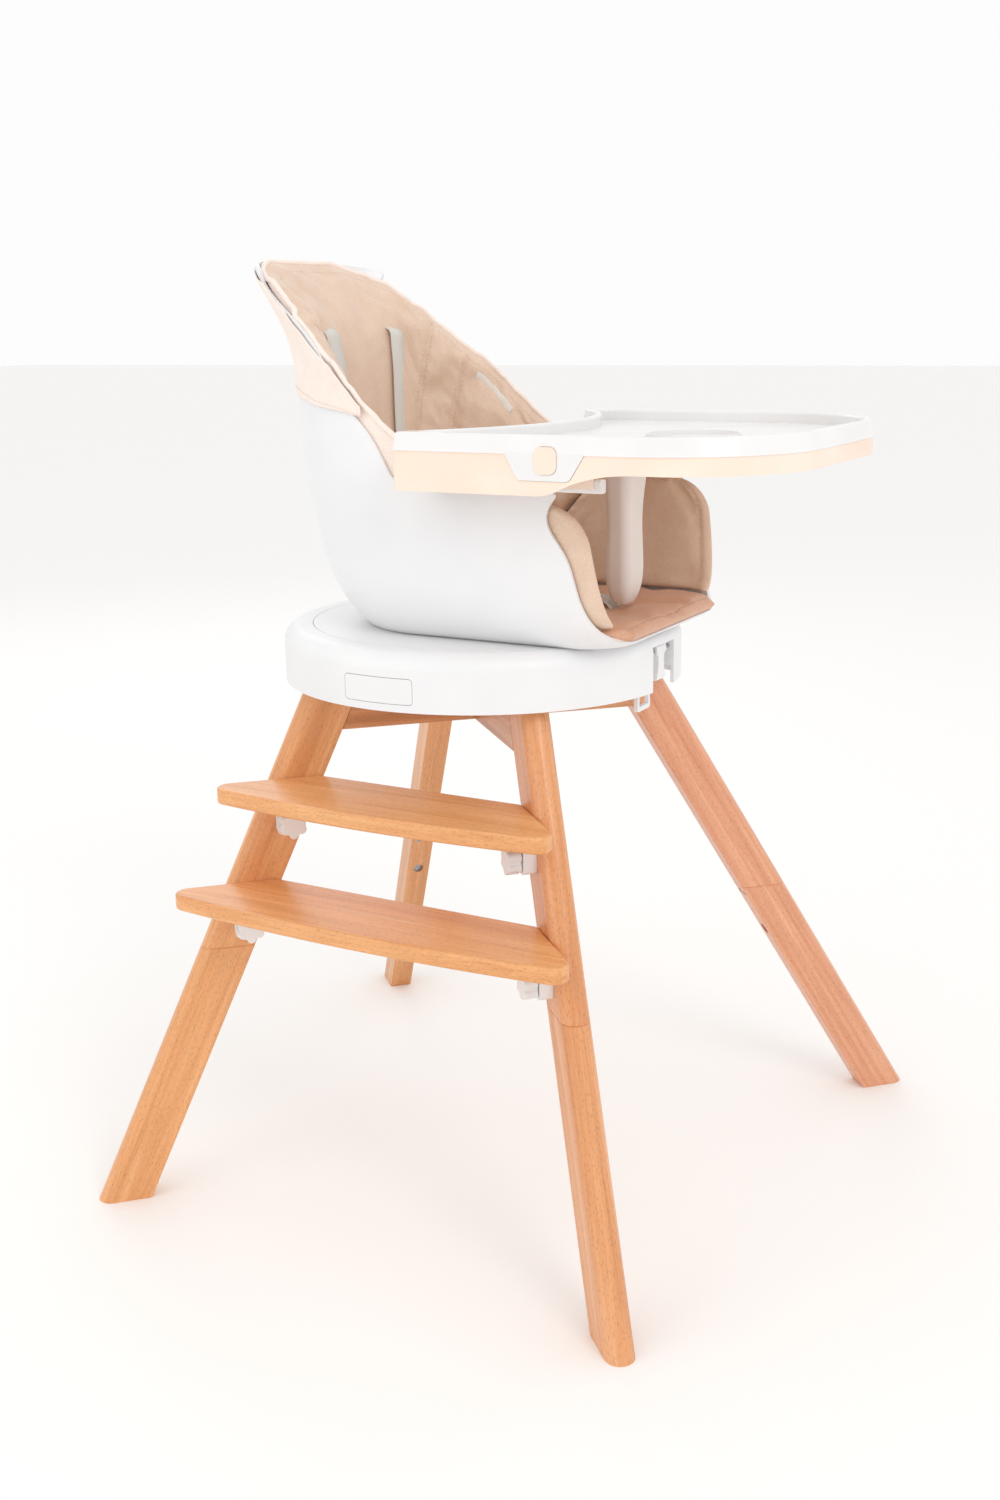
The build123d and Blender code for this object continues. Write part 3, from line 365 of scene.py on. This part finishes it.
def puff(piece, held, settings):
    # pressure in the cushion while its back, edges and seams are held, then the result is kept
    scene = bpy.context.scene
    group = piece.vertex_groups.new(name="held")
    group.add(sorted(held), 1.0, "REPLACE")
    cloth = piece.modifiers.new("cloth", "CLOTH")
    cloth.settings.use_pressure = True
    cloth.settings.uniform_pressure_force = settings["pressure"]
    cloth.settings.effector_weights.gravity = 0
    cloth.settings.vertex_group_mass = "held"
    cloth.settings.shrink_min = -settings["slack"]
    cloth.settings.tension_stiffness = 12
    cloth.settings.bending_stiffness = 1.5
    cloth.settings.quality = 6
    cloth.collision_settings.use_collision = False
    for number in range(1, settings["frames"] + 1):
        scene.frame_set(number)
    settled = piece.evaluated_get(bpy.context.evaluated_depsgraph_get()).data
    moved = [v.co.copy() for v in settled.vertices]
    for vertex, place in zip(piece.data.vertices, moved):
        step = place - vertex.co
        if step.length > settings["cap"]:
            step *= settings["cap"] / step.length
        vertex.co += step
    piece.modifiers.remove(cloth)
    scene.frame_set(1)


def refine(piece, levels):
    # subdivision, applied, so that seams can be pressed into the finer mesh
    modifier = piece.modifiers.new("subdivision", "SUBSURF")
    modifier.levels = modifier.render_levels = levels
    done = bpy.data.meshes.new_from_object(piece.evaluated_get(bpy.context.evaluated_depsgraph_get()))
    piece.modifiers.remove(modifier)
    piece.data = done
    for face in done.polygons:
        face.use_smooth = True


def onPiece(piece):
    mesh = piece.data
    return BVHTree.FromPolygons([v.co for v in mesh.vertices], [tuple(p.vertices) for p in mesh.polygons])


def pressSeam(piece, line, depth, width, inward):
    # push the mesh in along a line of points, and let it rise again at each side
    tree = KDTree(len(line))
    for index, point in enumerate(line):
        tree.insert(point, index)
    tree.balance()
    for vertex in piece.data.vertices:
        place, index, distance = tree.find(vertex.co)
        if distance < 3 * width:
            vertex.co += inward(vertex.co) * depth * math.exp(-(distance / width) ** 2)


thread = {"length": 3.0, "gap": 1.3, "radius": 0.42}     # mm


def stitchRow(name, line, lift):
    # one small bead of thread for each stitch, along a line on the surface
    points, faces = [], []
    pitch = (thread["length"] + thread["gap"]) * mm
    left = 0.0
    for start, end in zip(line, line[1:]):
        run = end - start
        if run.length < 1e-6:
            continue
        ahead = run.normalized()
        while left < run.length:
            middle = start + ahead * left + lift(start)
            side = ahead.orthogonal().normalized()
            other = ahead.cross(side)
            base = len(points)
            for share, size in ((-0.5, 0.3), (-0.3, 1.0), (0.3, 1.0), (0.5, 0.3)):
                for corner in range(6):
                    turn = corner * math.pi / 3
                    ring = (side * math.cos(turn) + other * math.sin(turn)) * thread["radius"] * size * mm
                    points.append(middle + ahead * thread["length"] * share * mm + ring)
            for level in range(3):
                for corner in range(6):
                    a, b = base + level * 6 + corner, base + level * 6 + (corner + 1) % 6
                    faces.append((a, b, b + 6, a + 6))
            faces.append(tuple(base + 5 - k for k in range(6)))
            faces.append(tuple(base + 18 + k for k in range(6)))
            left += pitch
        left -= run.length
    return makePiece(name, points, faces, [beigeThread])


def tubeAlong(name, line, radius, material, sides=10):
    # a round cord or piping along a line of points
    points, faces = [], []
    for index, place in enumerate(line):
        ahead = (line[min(index + 1, len(line) - 1)] - line[max(index - 1, 0)]).normalized()
        side = ahead.cross(Vector((0, 0, 1))).normalized()
        other = ahead.cross(side)
        for corner in range(sides):
            turn = corner * 2 * math.pi / sides
            points.append(place + (side * math.cos(turn) + other * math.sin(turn)) * radius)
    for index in range(len(line) - 1):
        for corner in range(sides):
            a, b = index * sides + corner, index * sides + (corner + 1) % sides
            faces.append((a, b, b + sides, a + sides))
    faces.append(tuple(range(sides - 1, -1, -1)))
    last = (len(line) - 1) * sides
    faces.append(tuple(range(last, last + sides)))
    return makePiece(name, points, faces, [material])


# ---- the back cushion, from the shell's own inner wall

back = {"columns": 121, "rows": 38, "foot": 612.5, "gap": 0.9, "edgeRound": 9.0, "rimRound": 15.0,
        "axisY": 20.0, "sideThickness": 12.0,
        "rim": [(-70, 733), (-30, 747), (-13, 764), (6, 781), (40, 808), (75, 843), (88, 851), (135, 890),
                (180, 923), (216, 942)],                 # mm, the cushion's top edge in side view
        "frontEdge": [(612, -10), (650, -10), (676, -18), (709, -46), (735, -66)],
        # each seam's height, and its degrees round from the middle of the back
        "seams": [[(610, 33), (700, 36), (790, 39), (845, 43), (900, 50)],
                  [(610, 50), (700, 51), (780, 55), (830, 60), (870, 66)]],
        "seamDepth": 2.6, "seamWidth": 3.0,
        "puff": {"pressure": 3.0, "slack": 0.03, "frames": 16, "cap": 7 * mm}}
axis = Vector((0, back["axisY"] * mm, 0))
shellTop = {}


def castRound(tree, turn, height):
    # outwards from the cushion's upright axis, at a height in millimetres
    return tree.ray_cast(axis + Vector((0, 0, height * mm)),
                         Vector((math.sin(turn), math.cos(turn), 0)))[0]


def edgeAngle(height):
    # how far round the cushion reaches at a height, in radians from the middle of the back
    return math.atan2(150, along(back["frontEdge"], height) - back["axisY"])


def wallPoint(share, height):
    # the shell's inner wall at a share of the way round, carried on above the shell's own rim
    turn = share * edgeAngle(height)
    direction = Vector((math.sin(turn), math.cos(turn), 0))
    found = surfacePoint("seat_shell", axis + Vector((0, 0, height * mm)), direction)
    if found is not None and (found - axis).to_2d().length < 0.3:
        shellTop[round(share, 3)] = (found - axis).to_2d().length
        return found, direction
    reach = shellTop.get(round(share, 3), 0.15)
    return axis + Vector((0, 0, height * mm)) + direction * reach, direction


def rimHeight(share):
    height = back["foot"] + 60
    while height < 945:
        place, direction = wallPoint(share, height)
        if height >= along(back["rim"], place.y / mm):
            break
        height += 2.0
    return height


def padThickness(share, height):
    # as thick as the CAD liner: thin at the sides, deep behind the child
    place, direction = wallPoint(share, height)
    inner = surfacePoint("back_liner", axis + Vector((0, 0, height * mm)), direction)
    if inner is None:
        return back["sideThickness"] * mm
    return max(6 * mm, (place - inner).length - back["gap"] * mm)


def backCushion():
    rows, columns = back["rows"], back["columns"]
    inner, outer = [], []
    shares = [2 * c / (columns - 1) - 1 for c in range(columns)]
    tops = [rimHeight(share) for share in shares]
    depth = {}
    for r in range(rows):
        innerRow, outerRow = [], []
        for c, share in enumerate(shares):
            height = back["foot"] + (tops[c] - back["foot"]) * r / (rows - 1)
            place, direction = wallPoint(share, height)
            if r < rows - 3:
                depth[c] = padThickness(share, height)
            fromRim = (tops[c] - height) / back["rimRound"]
            fromEdge = (1 - abs(share)) * 330 / back["edgeRound"]
            rounding = 1.0
            for near in (fromRim, fromEdge):
                if near < 1:
                    rounding *= max(0.18, math.sqrt(1 - (1 - near) ** 2))
            outerPlace = place - direction * back["gap"] * mm
            outerRow.append(outerPlace)
            innerRow.append(outerPlace - direction * depth[c] * rounding)
        inner.append(innerRow)
        outer.append(outerRow)
    # even out the small steps that the rays leave
    for turn in range(2):
        inner = [[inner[r][c] if r in (0, rows - 1) or c in (0, columns - 1) else
                  (inner[r][c] * 4 + inner[r - 1][c] + inner[r + 1][c] + inner[r][c - 1]
                   + inner[r][c + 1]) / 8
                  for c in range(columns)] for r in range(rows)]
    cushion = pillowMesh("backCushion", inner, outer, [linerInside, linerOutside])
    lines = []
    for side in (-1, 1):
        for seam in back["seams"]:
            line = []
            for height in range(int(back["foot"]) + 4, 940, 3):
                share = side * math.radians(along(seam, height)) / edgeAngle(height)
                column = (share + 1) / 2 * (columns - 1)
                c = int(round(column))
                if height > tops[c] - 5:
                    break
                r = (height - back["foot"]) / (tops[c] - back["foot"]) * (rows - 1)
                low = min(int(r), rows - 2)
                spot = inner[low][c].lerp(inner[low + 1][c], r - low)
                line.append((c, low, spot, share, height))
            lines.append(line)
    held = set(range(rows * columns, 2 * rows * columns))
    held |= {c for c in range(columns)} | {(rows - 1) * columns + c for c in range(columns)}
    held |= {r * columns for r in range(rows)} | {r * columns + columns - 1 for r in range(rows)}
    held |= {r * columns + c for line in lines for c, r, spot, share, height in line}
    puff(cushion, held, back["puff"])
    refine(cushion, 2)
    tree = onPiece(cushion)
    finished = []
    for line in lines:
        onSkin = []
        for c, r, spot, share, height in line:
            found = castRound(tree, share * edgeAngle(height), height)
            if found is not None:
                onSkin.append(found)
        finished.append(onSkin)

    def outward(place):
        away = place - axis
        away.z = 0
        return away.normalized()

    for line in finished:
        pressSeam(cushion, line, back["seamDepth"] * mm, back["seamWidth"] * mm, outward)
    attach(cushion, "seat")
    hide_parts("back_liner")
    tree = onPiece(cushion)
    for index, line in enumerate(finished):
        for offset in (-1, 1):
            moved = []
            for place in line:
                around = Matrix.Rotation(offset * 3.2 * mm / 0.14, 3, "Z") @ (place - axis)
                found = tree.ray_cast(axis + Vector((0, 0, place.z)), Vector((around.x, around.y, 0)))[0]
                if found is not None:
                    moved.append(found)
            row = stitchRow("backSeamStitches%d%s" % (index, "LR"[offset > 0]), moved,
                            lambda place: -outward(place) * 0.15 * mm)
            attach(row, "seat")
    rimLine = [(inner[rows - 1][c] + outer[rows - 1][c]) / 2 for c in range(columns)]
    piping = tubeAlong("rimPiping", rimLine, 2.8 * mm, linerOutside)
    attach(piping, "seat")
    hemLine = []
    for c in range(2, columns - 2):
        height = tops[c] - 9
        found = castRound(tree, shares[c] * edgeAngle(height), height)
        if found is not None:
            hemLine.append(found)
    hem = stitchRow("rimStitches", hemLine, lambda place: -outward(place) * 0.15 * mm)
    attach(hem, "seat")
    print("back cushion done,", len(cushion.data.vertices), "vertices")
    return cushion, tree, tops, shares


# ---- the hood, the liner's cover over the outside of the shell's top

hood = {"columns": 100, "rows": 22, "reach": 0.70, "lift": 1.0, "thickness": 1.6,
        "hem": [(30, 797), (62, 803), (90, 806), (122, 812), (190, 818)], "ripple": 0.5}


def backHood(tops, shares):
    outer, inner = [], []
    step = 2 * hood["reach"] / (hood["columns"] - 1)
    for r in range(hood["rows"]):
        outerRow, innerRow = [], []
        for c in range(hood["columns"]):
            share = -hood["reach"] + step * c
            top = along(list(zip(shares, tops)), share) + 0.5
            turn = share * edgeAngle(800)
            direction = Vector((math.sin(turn), math.cos(turn), 0))
            probe = surfacePoint("seat_shell", axis + Vector((0, 0, 0.78)) + direction * 0.4, -direction)
            bottom = min(along(hood["hem"], probe.y / mm), top - 2.0)
            height = bottom + (top - bottom) * (r / (hood["rows"] - 1)) ** 0.9
            probe, found = height, None
            while found is None and probe > 700:
                far = axis + Vector((0, 0, probe * mm)) + direction * 0.4
                found = surfacePoint("seat_shell", far, -direction)
                if found is not None and (found - axis).dot(direction) < 0:
                    found = None
                probe -= 3
            place = Vector((found.x, found.y, height * mm))
            ripple = hood["ripple"] * math.sin(share * 21) * max(0, 1 - r / 6)
            outerRow.append(place + direction * (hood["lift"] + hood["thickness"] + ripple) * mm)
            innerRow.append(place + direction * hood["lift"] * mm)
        outer.append(outerRow)
        inner.append(innerRow)
    cover = pillowMesh("backHoodCover", outer, inner, [linerOutside, linerOutside])
    refine(cover, 1)
    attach(cover, "seat")
    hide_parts("back_hood")
    row = [(p + q) / 2 for p, q in zip(outer[1], outer[2])]
    stitches = stitchRow("hoodHemStitches", row, lambda place: (place - axis).normalized() * 0.2 * mm)
    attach(stitches, "seat")
    print("hood done")


# ---- the side wings, upright pads beside the child's legs

wing = {"columns": 34, "rows": 26, "foot": 612.0, "top": 724.0, "cornerRadius": 36.0, "frontTop": -184.0,
        "frontFoot": -201.0, "gap": 1.0, "edgeRound": 9.0, "stitchInset": 9.0,
        "puff": {"pressure": 3.0, "slack": 0.03, "frames": 14, "cap": 4 * mm}}


def wingFront(height):
    # the front edge leans back a little, and its top corner is round
    lean = (height - wing["foot"]) / (wing["top"] - wing["foot"])
    edge = wing["frontFoot"] + (wing["frontTop"] - wing["frontFoot"]) * lean
    over = height - (wing["top"] - wing["cornerRadius"])
    if over > 0:
        edge += wing["cornerRadius"] - math.sqrt(max(0, wing["cornerRadius"] ** 2 - over ** 2))
    return edge


def sideWing(name, side):
    node = "side_wing_" + name
    rows, columns = wing["rows"], wing["columns"]
    inner, outer = [], []
    for r in range(rows):
        height = wing["foot"] + (wing["top"] - wing["foot"]) * math.sin(r / (rows - 1) * math.pi / 2) ** 0.8
        rear = along(back["frontEdge"], height) - 3
        front = wingFront(height)
        innerRow, outerRow = [], []
        for c in range(columns):
            y = rear + (front - rear) * c / (columns - 1)
            probe = max(min(y, -18), front + 4)
            high = min(height, wing["top"] - 2)
            start = Vector((0, probe * mm, high * mm))
            near = surfacePoint(node, start, (side, 0, 0))
            if near is None:
                near = Vector((side * 0.137, 0, 0))
            beyond = surfacePoint(node, (near.x + side * 2 * mm, start.y, start.z), (side, 0, 0))
            far = beyond.x if beyond else near.x + side * 12 * mm
            depth = abs(far - near.x) - wing["gap"] * mm
            fromEdge = min(abs(y - front), wing["top"] - height + 1.0) / wing["edgeRound"]
            rounding = math.sqrt(1 - (1 - min(1, fromEdge)) ** 2) if fromEdge < 1 else 1.0
            rounding = max(0.25, rounding)
            middle = (near.x + far - side * wing["gap"] * mm) / 2
            outerRow.append(Vector((middle + side * depth * rounding / 2, y * mm, height * mm)))
            innerRow.append(Vector((middle - side * depth * rounding / 2, y * mm, height * mm)))
        inner.append(innerRow)
        outer.append(outerRow)
    pad = pillowMesh("sideWing" + name.capitalize(), inner, outer, [linerInside, linerInside])
    held = set(range(rows * columns, 2 * rows * columns)) | set(range(columns))
    held |= {(rows - 1) * columns + c for c in range(columns)}
    held |= {r * columns + c for r in range(rows) for c in (0, columns - 1)}
    inset = int(wing["stitchInset"] / (180 / columns)) + 1
    seamCells = [(r, columns - 1 - inset) for r in range(2, rows - 4)]
    held |= {r * columns + c for r, c in seamCells}
    puff(pad, held, wing["puff"])
    refine(pad, 2)
    tree = onPiece(pad)
    line = []
    path = [(inner[r][columns - 1 - inset].y, inner[r][0].z) for r in range(0, rows - 4)]
    last = path[-1]
    path += [(last[0] + (0.012 + 0.006 * k), last[1] + 0.004 * (1 - k / 14)) for k in range(14)]
    for y, z in path:
        found = tree.ray_cast(Vector((0, y, z)), Vector((side, 0, 0)))[0]
        if found is not None:
            line.append(found)
    pressSeam(pad, line, 1.4 * mm, 2.2 * mm, lambda place: Vector((side, 0, 0)))
    tree = onPiece(pad)
    line = [p for p in (tree.ray_cast(Vector((0, q.y, q.z)), Vector((side, 0, 0)))[0] for q in line) if p]
    stitches = stitchRow("wingStitches" + name.capitalize(), line,
                         lambda place: Vector((-side * 0.2 * mm, 0, 0)))
    for piece in (pad, stitches):
        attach(piece, "seat")
    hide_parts(node)


# ---- the seat pad

seat = {"columns": 44, "rows": 52, "gap": 1.5, "edgeRound": 8.0,
        "slotY": -146.0,
        "puff": {"pressure": 2.5, "slack": 0.02, "frames": 14, "cap": 4 * mm}}


def seatPad():
    low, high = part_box("seat_pad")
    rows, columns = seat["rows"], seat["columns"]
    topZ, lowZ = high.z - 1.0 * mm, low.z + 0.3 * mm
    probeZ = (low.z + high.z) / 2 + 2 * mm
    top, under = [], []
    front, rear = low.y + seat["gap"] * mm, high.y - 12 * mm
    for r in range(rows):
        y = front + (rear - front) * r / (rows - 1)
        probeY = min(max(y, low.y + 3 * mm), high.y - 6 * mm)
        edge = surfacePoint("seat_pad", (0.4, probeY, probeZ), (-1, 0, 0))
        half = (abs(edge.x) if edge else 0.1) - seat["gap"] * mm
        topRow, underRow = [], []
        for c in range(columns):
            share = 2 * c / (columns - 1) - 1
            x = half * math.sin(share * math.pi / 2 * 0.98) / math.sin(math.pi / 2 * 0.98)
            fromEdge = min(half - abs(x), y - front + 0.5 * mm, rear - y + 0.5 * mm)
            fromEdge /= seat["edgeRound"] * mm
            rounding = math.sqrt(max(0.04, 1 - (1 - min(1, fromEdge)) ** 2))
            middle = (topZ + lowZ) / 2
            topRow.append(Vector((x, y, middle + (topZ - middle) * rounding)))
            underRow.append(Vector((x, y, middle - (middle - lowZ) * rounding)))
        top.append(topRow)
        under.append(underRow)
    pad = pillowMesh("seatCushion", top, under, [linerSeat, linerSeat])
    held = set(range(rows * columns, 2 * rows * columns)) | set(range(columns))
    held |= {(rows - 1) * columns + c for c in range(columns)}
    held |= {r * columns + c for r in range(rows) for c in (0, columns - 1)}
    slotRow = int((seat["slotY"] * mm - front) / (rear - front) * (rows - 1))
    held |= {slotRow * columns + c for c in range(columns // 2 - 4, columns // 2 + 4)}
    puff(pad, held, seat["puff"])
    refine(pad, 2)
    tree = onPiece(pad)

    def over(x, y):
        return tree.ray_cast(Vector((x, y, 0.75)), Vector((0, 0, -1)))[0]

    inset = 9 * mm
    line = []
    for k in range(60):
        x = -0.115 + 0.230 * k / 59
        found = over(x, front + inset)
        if found is not None:
            line.append(found)
    pressSeam(pad, line, 1.2 * mm, 2.2 * mm, lambda place: Vector((0, 0, -1)))
    tree = onPiece(pad)
    line = [p for p in (over(q.x, q.y) for q in line) if p]
    stitches = stitchRow("seatPadStitches", line, lambda place: Vector((0, 0, 0.2 * mm)))
    for piece in (pad, stitches):
        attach(piece, "seat")
    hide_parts("seat_pad")
    print("seat pad done")
    return tree


cushion, cushionTree, tops, shares = backCushion()
backHood(tops, shares)
sideWing("near", -1)
sideWing("far", 1)
seatTree = seatPad()

# ---- straps, their buckle's webbing and the small tag

strap = {"width": 22.0, "thickness": 1.5, "lowerWidth": 24.0, "lapWidth": 18.0, "lift": 0.5,
         "slotHeight": 881.0, "shoulderX": 60.0, "meetX": 25.0, "cushionDepth": 115.0,
         "heights": [874, 860, 845, 830, 815, 800, 785, 770, 750, 730]}


def curveThrough(points, step):
    # a smooth line through the points, sampled every step
    points = [Vector(p) for p in points]
    padded = [points[0] * 2 - points[1]] + points + [points[-1] * 2 - points[-2]]
    line = []
    for before, start, end, after in zip(padded, padded[1:], padded[2:], padded[3:]):
        count = max(2, int((end - start).length / step))
        for k in range(count):
            t = k / count
            line.append(0.5 * (start * 2 + (end - before) * t
                               + (before * 2 - start * 5 + end * 4 - after) * t * t
                               + (start * 3 - before - end * 3 + after) * t ** 3))
    line.append(points[-1])
    return line


def ribbon(name, line, across, width, thickness, material):
    # webbing with softly rounded edges, its weave laid out in real length and width
    half, depth = width / 2, thickness / 2
    ring = [(-half, 0), (-half + 0.5 * mm, depth), (0, depth), (half - 0.5 * mm, depth),
            (half, 0), (half - 0.5 * mm, -depth), (0, -depth), (-half + 0.5 * mm, -depth)]
    points, places, run = [], [], 0.0
    for index, place in enumerate(line):
        ahead = (line[min(index + 1, len(line) - 1)] - line[max(index - 1, 0)]).normalized()
        side = across(index / (len(line) - 1))
        side = (side - ahead * side.dot(ahead)).normalized()
        up = side.cross(ahead)
        if index:
            run += (place - line[index - 1]).length
        for x, z in ring:
            points.append(place + side * x + up * z)
            places.append((run, x + width / 2))
    faces = []
    for index in range(len(line) - 1):
        for corner in range(8):
            a, b = index * 8 + corner, index * 8 + (corner + 1) % 8
            faces.append((a, b, b + 8, a + 8))
    faces.append(tuple(range(7, -1, -1)))
    last = (len(line) - 1) * 8
    faces.append(tuple(range(last, last + 8)))
    piece = makePiece(name, points, faces, [material])
    layer = piece.data.uv_layers.new(name="weave")
    for loop in piece.data.loops:
        layer.data[loop.index].uv = places[loop.vertex_index]
    return piece


def shoulderStrap(name, side):
    points = [(side * strap["shoulderX"] * mm, 0.152, strap["slotHeight"] * mm)]
    for height in strap["heights"]:
        share = (strap["slotHeight"] - height) / (strap["slotHeight"] - 700)
        x = strap["shoulderX"] - (strap["shoulderX"] - 54) * share
        found = castRound(cushionTree, math.atan2(side * x, strap["cushionDepth"]), height)
        if found is None:
            continue
        inward = (axis - found).to_3d()
        inward.z = 0
        points.append(found + inward.normalized() * (strap["thickness"] / 2 + strap["lift"]) * mm)
    points.append((side * 45 * mm, 0.030, 0.688))
    points.append((side * strap["meetX"] * mm, -0.019, 0.664))
    line = curveThrough(points, 4 * mm)
    piece = ribbon("shoulderStrap" + name.capitalize(), line, lambda share: Vector((1, 0, 0)),
                   strap["width"] * mm, strap["thickness"] * mm, strapWebbing)
    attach(piece, "seat")
    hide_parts("shoulder_strap_" + name)


def lowerStraps():
    seatTop = seatTree.ray_cast(Vector((0, -0.160, 0.75)), Vector((0, 0, -1)))[0].z
    crotch = curveThrough([(0, -0.1475, seatTop - 12 * mm), (0, -0.1470, seatTop + 1 * mm),
                           (0, -0.128, seatTop + 9 * mm), (0, -0.080, seatTop + 10 * mm),
                           (0, -0.045, seatTop + 18 * mm), (0, -0.0315, 0.650), (0, -0.0315, 0.662)], 4 * mm)
    piece = ribbon("crotchStrap", crotch, lambda share: Vector((1, 0, 0)),
                   strap["lowerWidth"] * mm, strap["thickness"] * mm, strapWebbing)
    pieces = [piece]
    for label, side in (("Near", -1), ("Far", 1)):
        lap = curveThrough([(side * 0.0245, -0.024, 0.659), (side * 0.060, -0.026, 0.657),
                            (side * 0.095, -0.020, 0.652), (side * 0.127, -0.006, 0.640)], 4 * mm)
        pieces.append(ribbon("lapStrap" + label, lap, lambda share: Vector((0, 0, 1)),
                             strap["lapWidth"] * mm, strap["thickness"] * mm, strapWebbing))
    for part in pieces:
        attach(part, "seat")
    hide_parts("lower_straps")


tag = {"length": 56.0, "width": 9.0, "thickness": 0.6, "below": 22.0, "share": 0.62}


def rimTag():
    # a blank woven tag sewn along the inner band of the rim
    points = []
    for k in range(15):
        share = tag["share"] + (k - 7) / 14 * tag["length"] * mm / 0.36 * 0.86
        top = along(list(zip(shares, tops)), share)
        height = top - tag["below"]
        found = castRound(cushionTree, share * edgeAngle(height), height)
        if found is not None:
            inward = axis - found
            inward.z = 0
            points.append(found + inward.normalized() * tag["thickness"] * mm)
    line = curveThrough(points, 3 * mm)
    start, end = line[0], line[-1]
    middle = line[len(line) // 2]
    outward = middle - axis
    outward.z = 0
    across = (end - start).cross(outward.normalized())
    piece = ribbon("rimTag", line, lambda share: across, tag["width"] * mm, tag["thickness"] * mm, plainTag)
    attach(piece, "seat")
    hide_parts("rim_tag")


shoulderStrap("near", -1)
shoulderStrap("far", 1)
lowerStraps()
rimTag()
print("straps and tag done")


# ---- floor, light and camera

def surround():
    floorMaterial, tree, shader = newMaterial("pale floor", {"Base Color": hexColour("F7F6F4"),
                                                             "Roughness": 0.9})
    bpy.ops.mesh.primitive_plane_add(size=60, location=(0, 0, 0))
    floor = bpy.context.object
    floor.name = "floor"
    floor.data.materials.append(floorMaterial)
    world = bpy.data.worlds.new("studio")
    world.use_nodes = True
    world.node_tree.nodes["Background"].inputs["Color"].default_value = hexColour("FFFFFF")
    world.node_tree.nodes["Background"].inputs["Strength"].default_value = 0.98
    bpy.context.scene.world = world
    lamps = {"key": ((-1.6, -2.6, 2.7), 1.6, 22), "fill": ((-2.6, 1.2, 1.6), 2.2, 8),
             "back": ((2.2, 2.2, 2.4), 1.6, 8)}
    for name, (place, size, power) in lamps.items():
        data = bpy.data.lights.new(name, "AREA")
        data.shape, data.size, data.energy = "DISK", size, power
        lamp = bpy.data.objects.new(name, data)
        lamp.location = place
        lamp.rotation_mode = "QUATERNION"
        lamp.rotation_quaternion = (Vector((0, 0, 0.55)) - Vector(place)).to_track_quat("-Z", "Y")
        bpy.context.scene.collection.objects.link(lamp)
    bpy.context.scene.view_settings.view_transform = "Standard"


def placeCamera(view):
    ahead = Vector((math.sin(-view["azimuth"]), math.cos(view["azimuth"]), 0))
    forward = ahead * math.cos(view["pitch"]) - Vector((0, 0, 1)) * math.sin(view["pitch"])
    right = ahead.cross(Vector((0, 0, 1))).normalized()
    up = right.cross(forward)
    rolledRight = right * math.cos(view["roll"]) - up * math.sin(view["roll"])
    rolledUp = right * math.sin(view["roll"]) + up * math.cos(view["roll"])
    turn = Matrix((rolledRight, rolledUp, -forward)).transposed().to_4x4()
    data = bpy.data.cameras.new("camera")
    data.lens = view["lens"]
    data.sensor_width = 36
    data.clip_end = 100
    camera = bpy.data.objects.new("camera", data)
    camera.matrix_world = Matrix.Translation(view["place"]) @ turn
    bpy.context.scene.collection.objects.link(camera)
    bpy.context.scene.camera = camera


surround()
placeCamera({"place": (-1.4187, -0.8042, 0.880), "azimuth": math.radians(-61.0), "pitch": 0.2585,
             "roll": 0.013, "lens": 38.73})
print("studio ready")
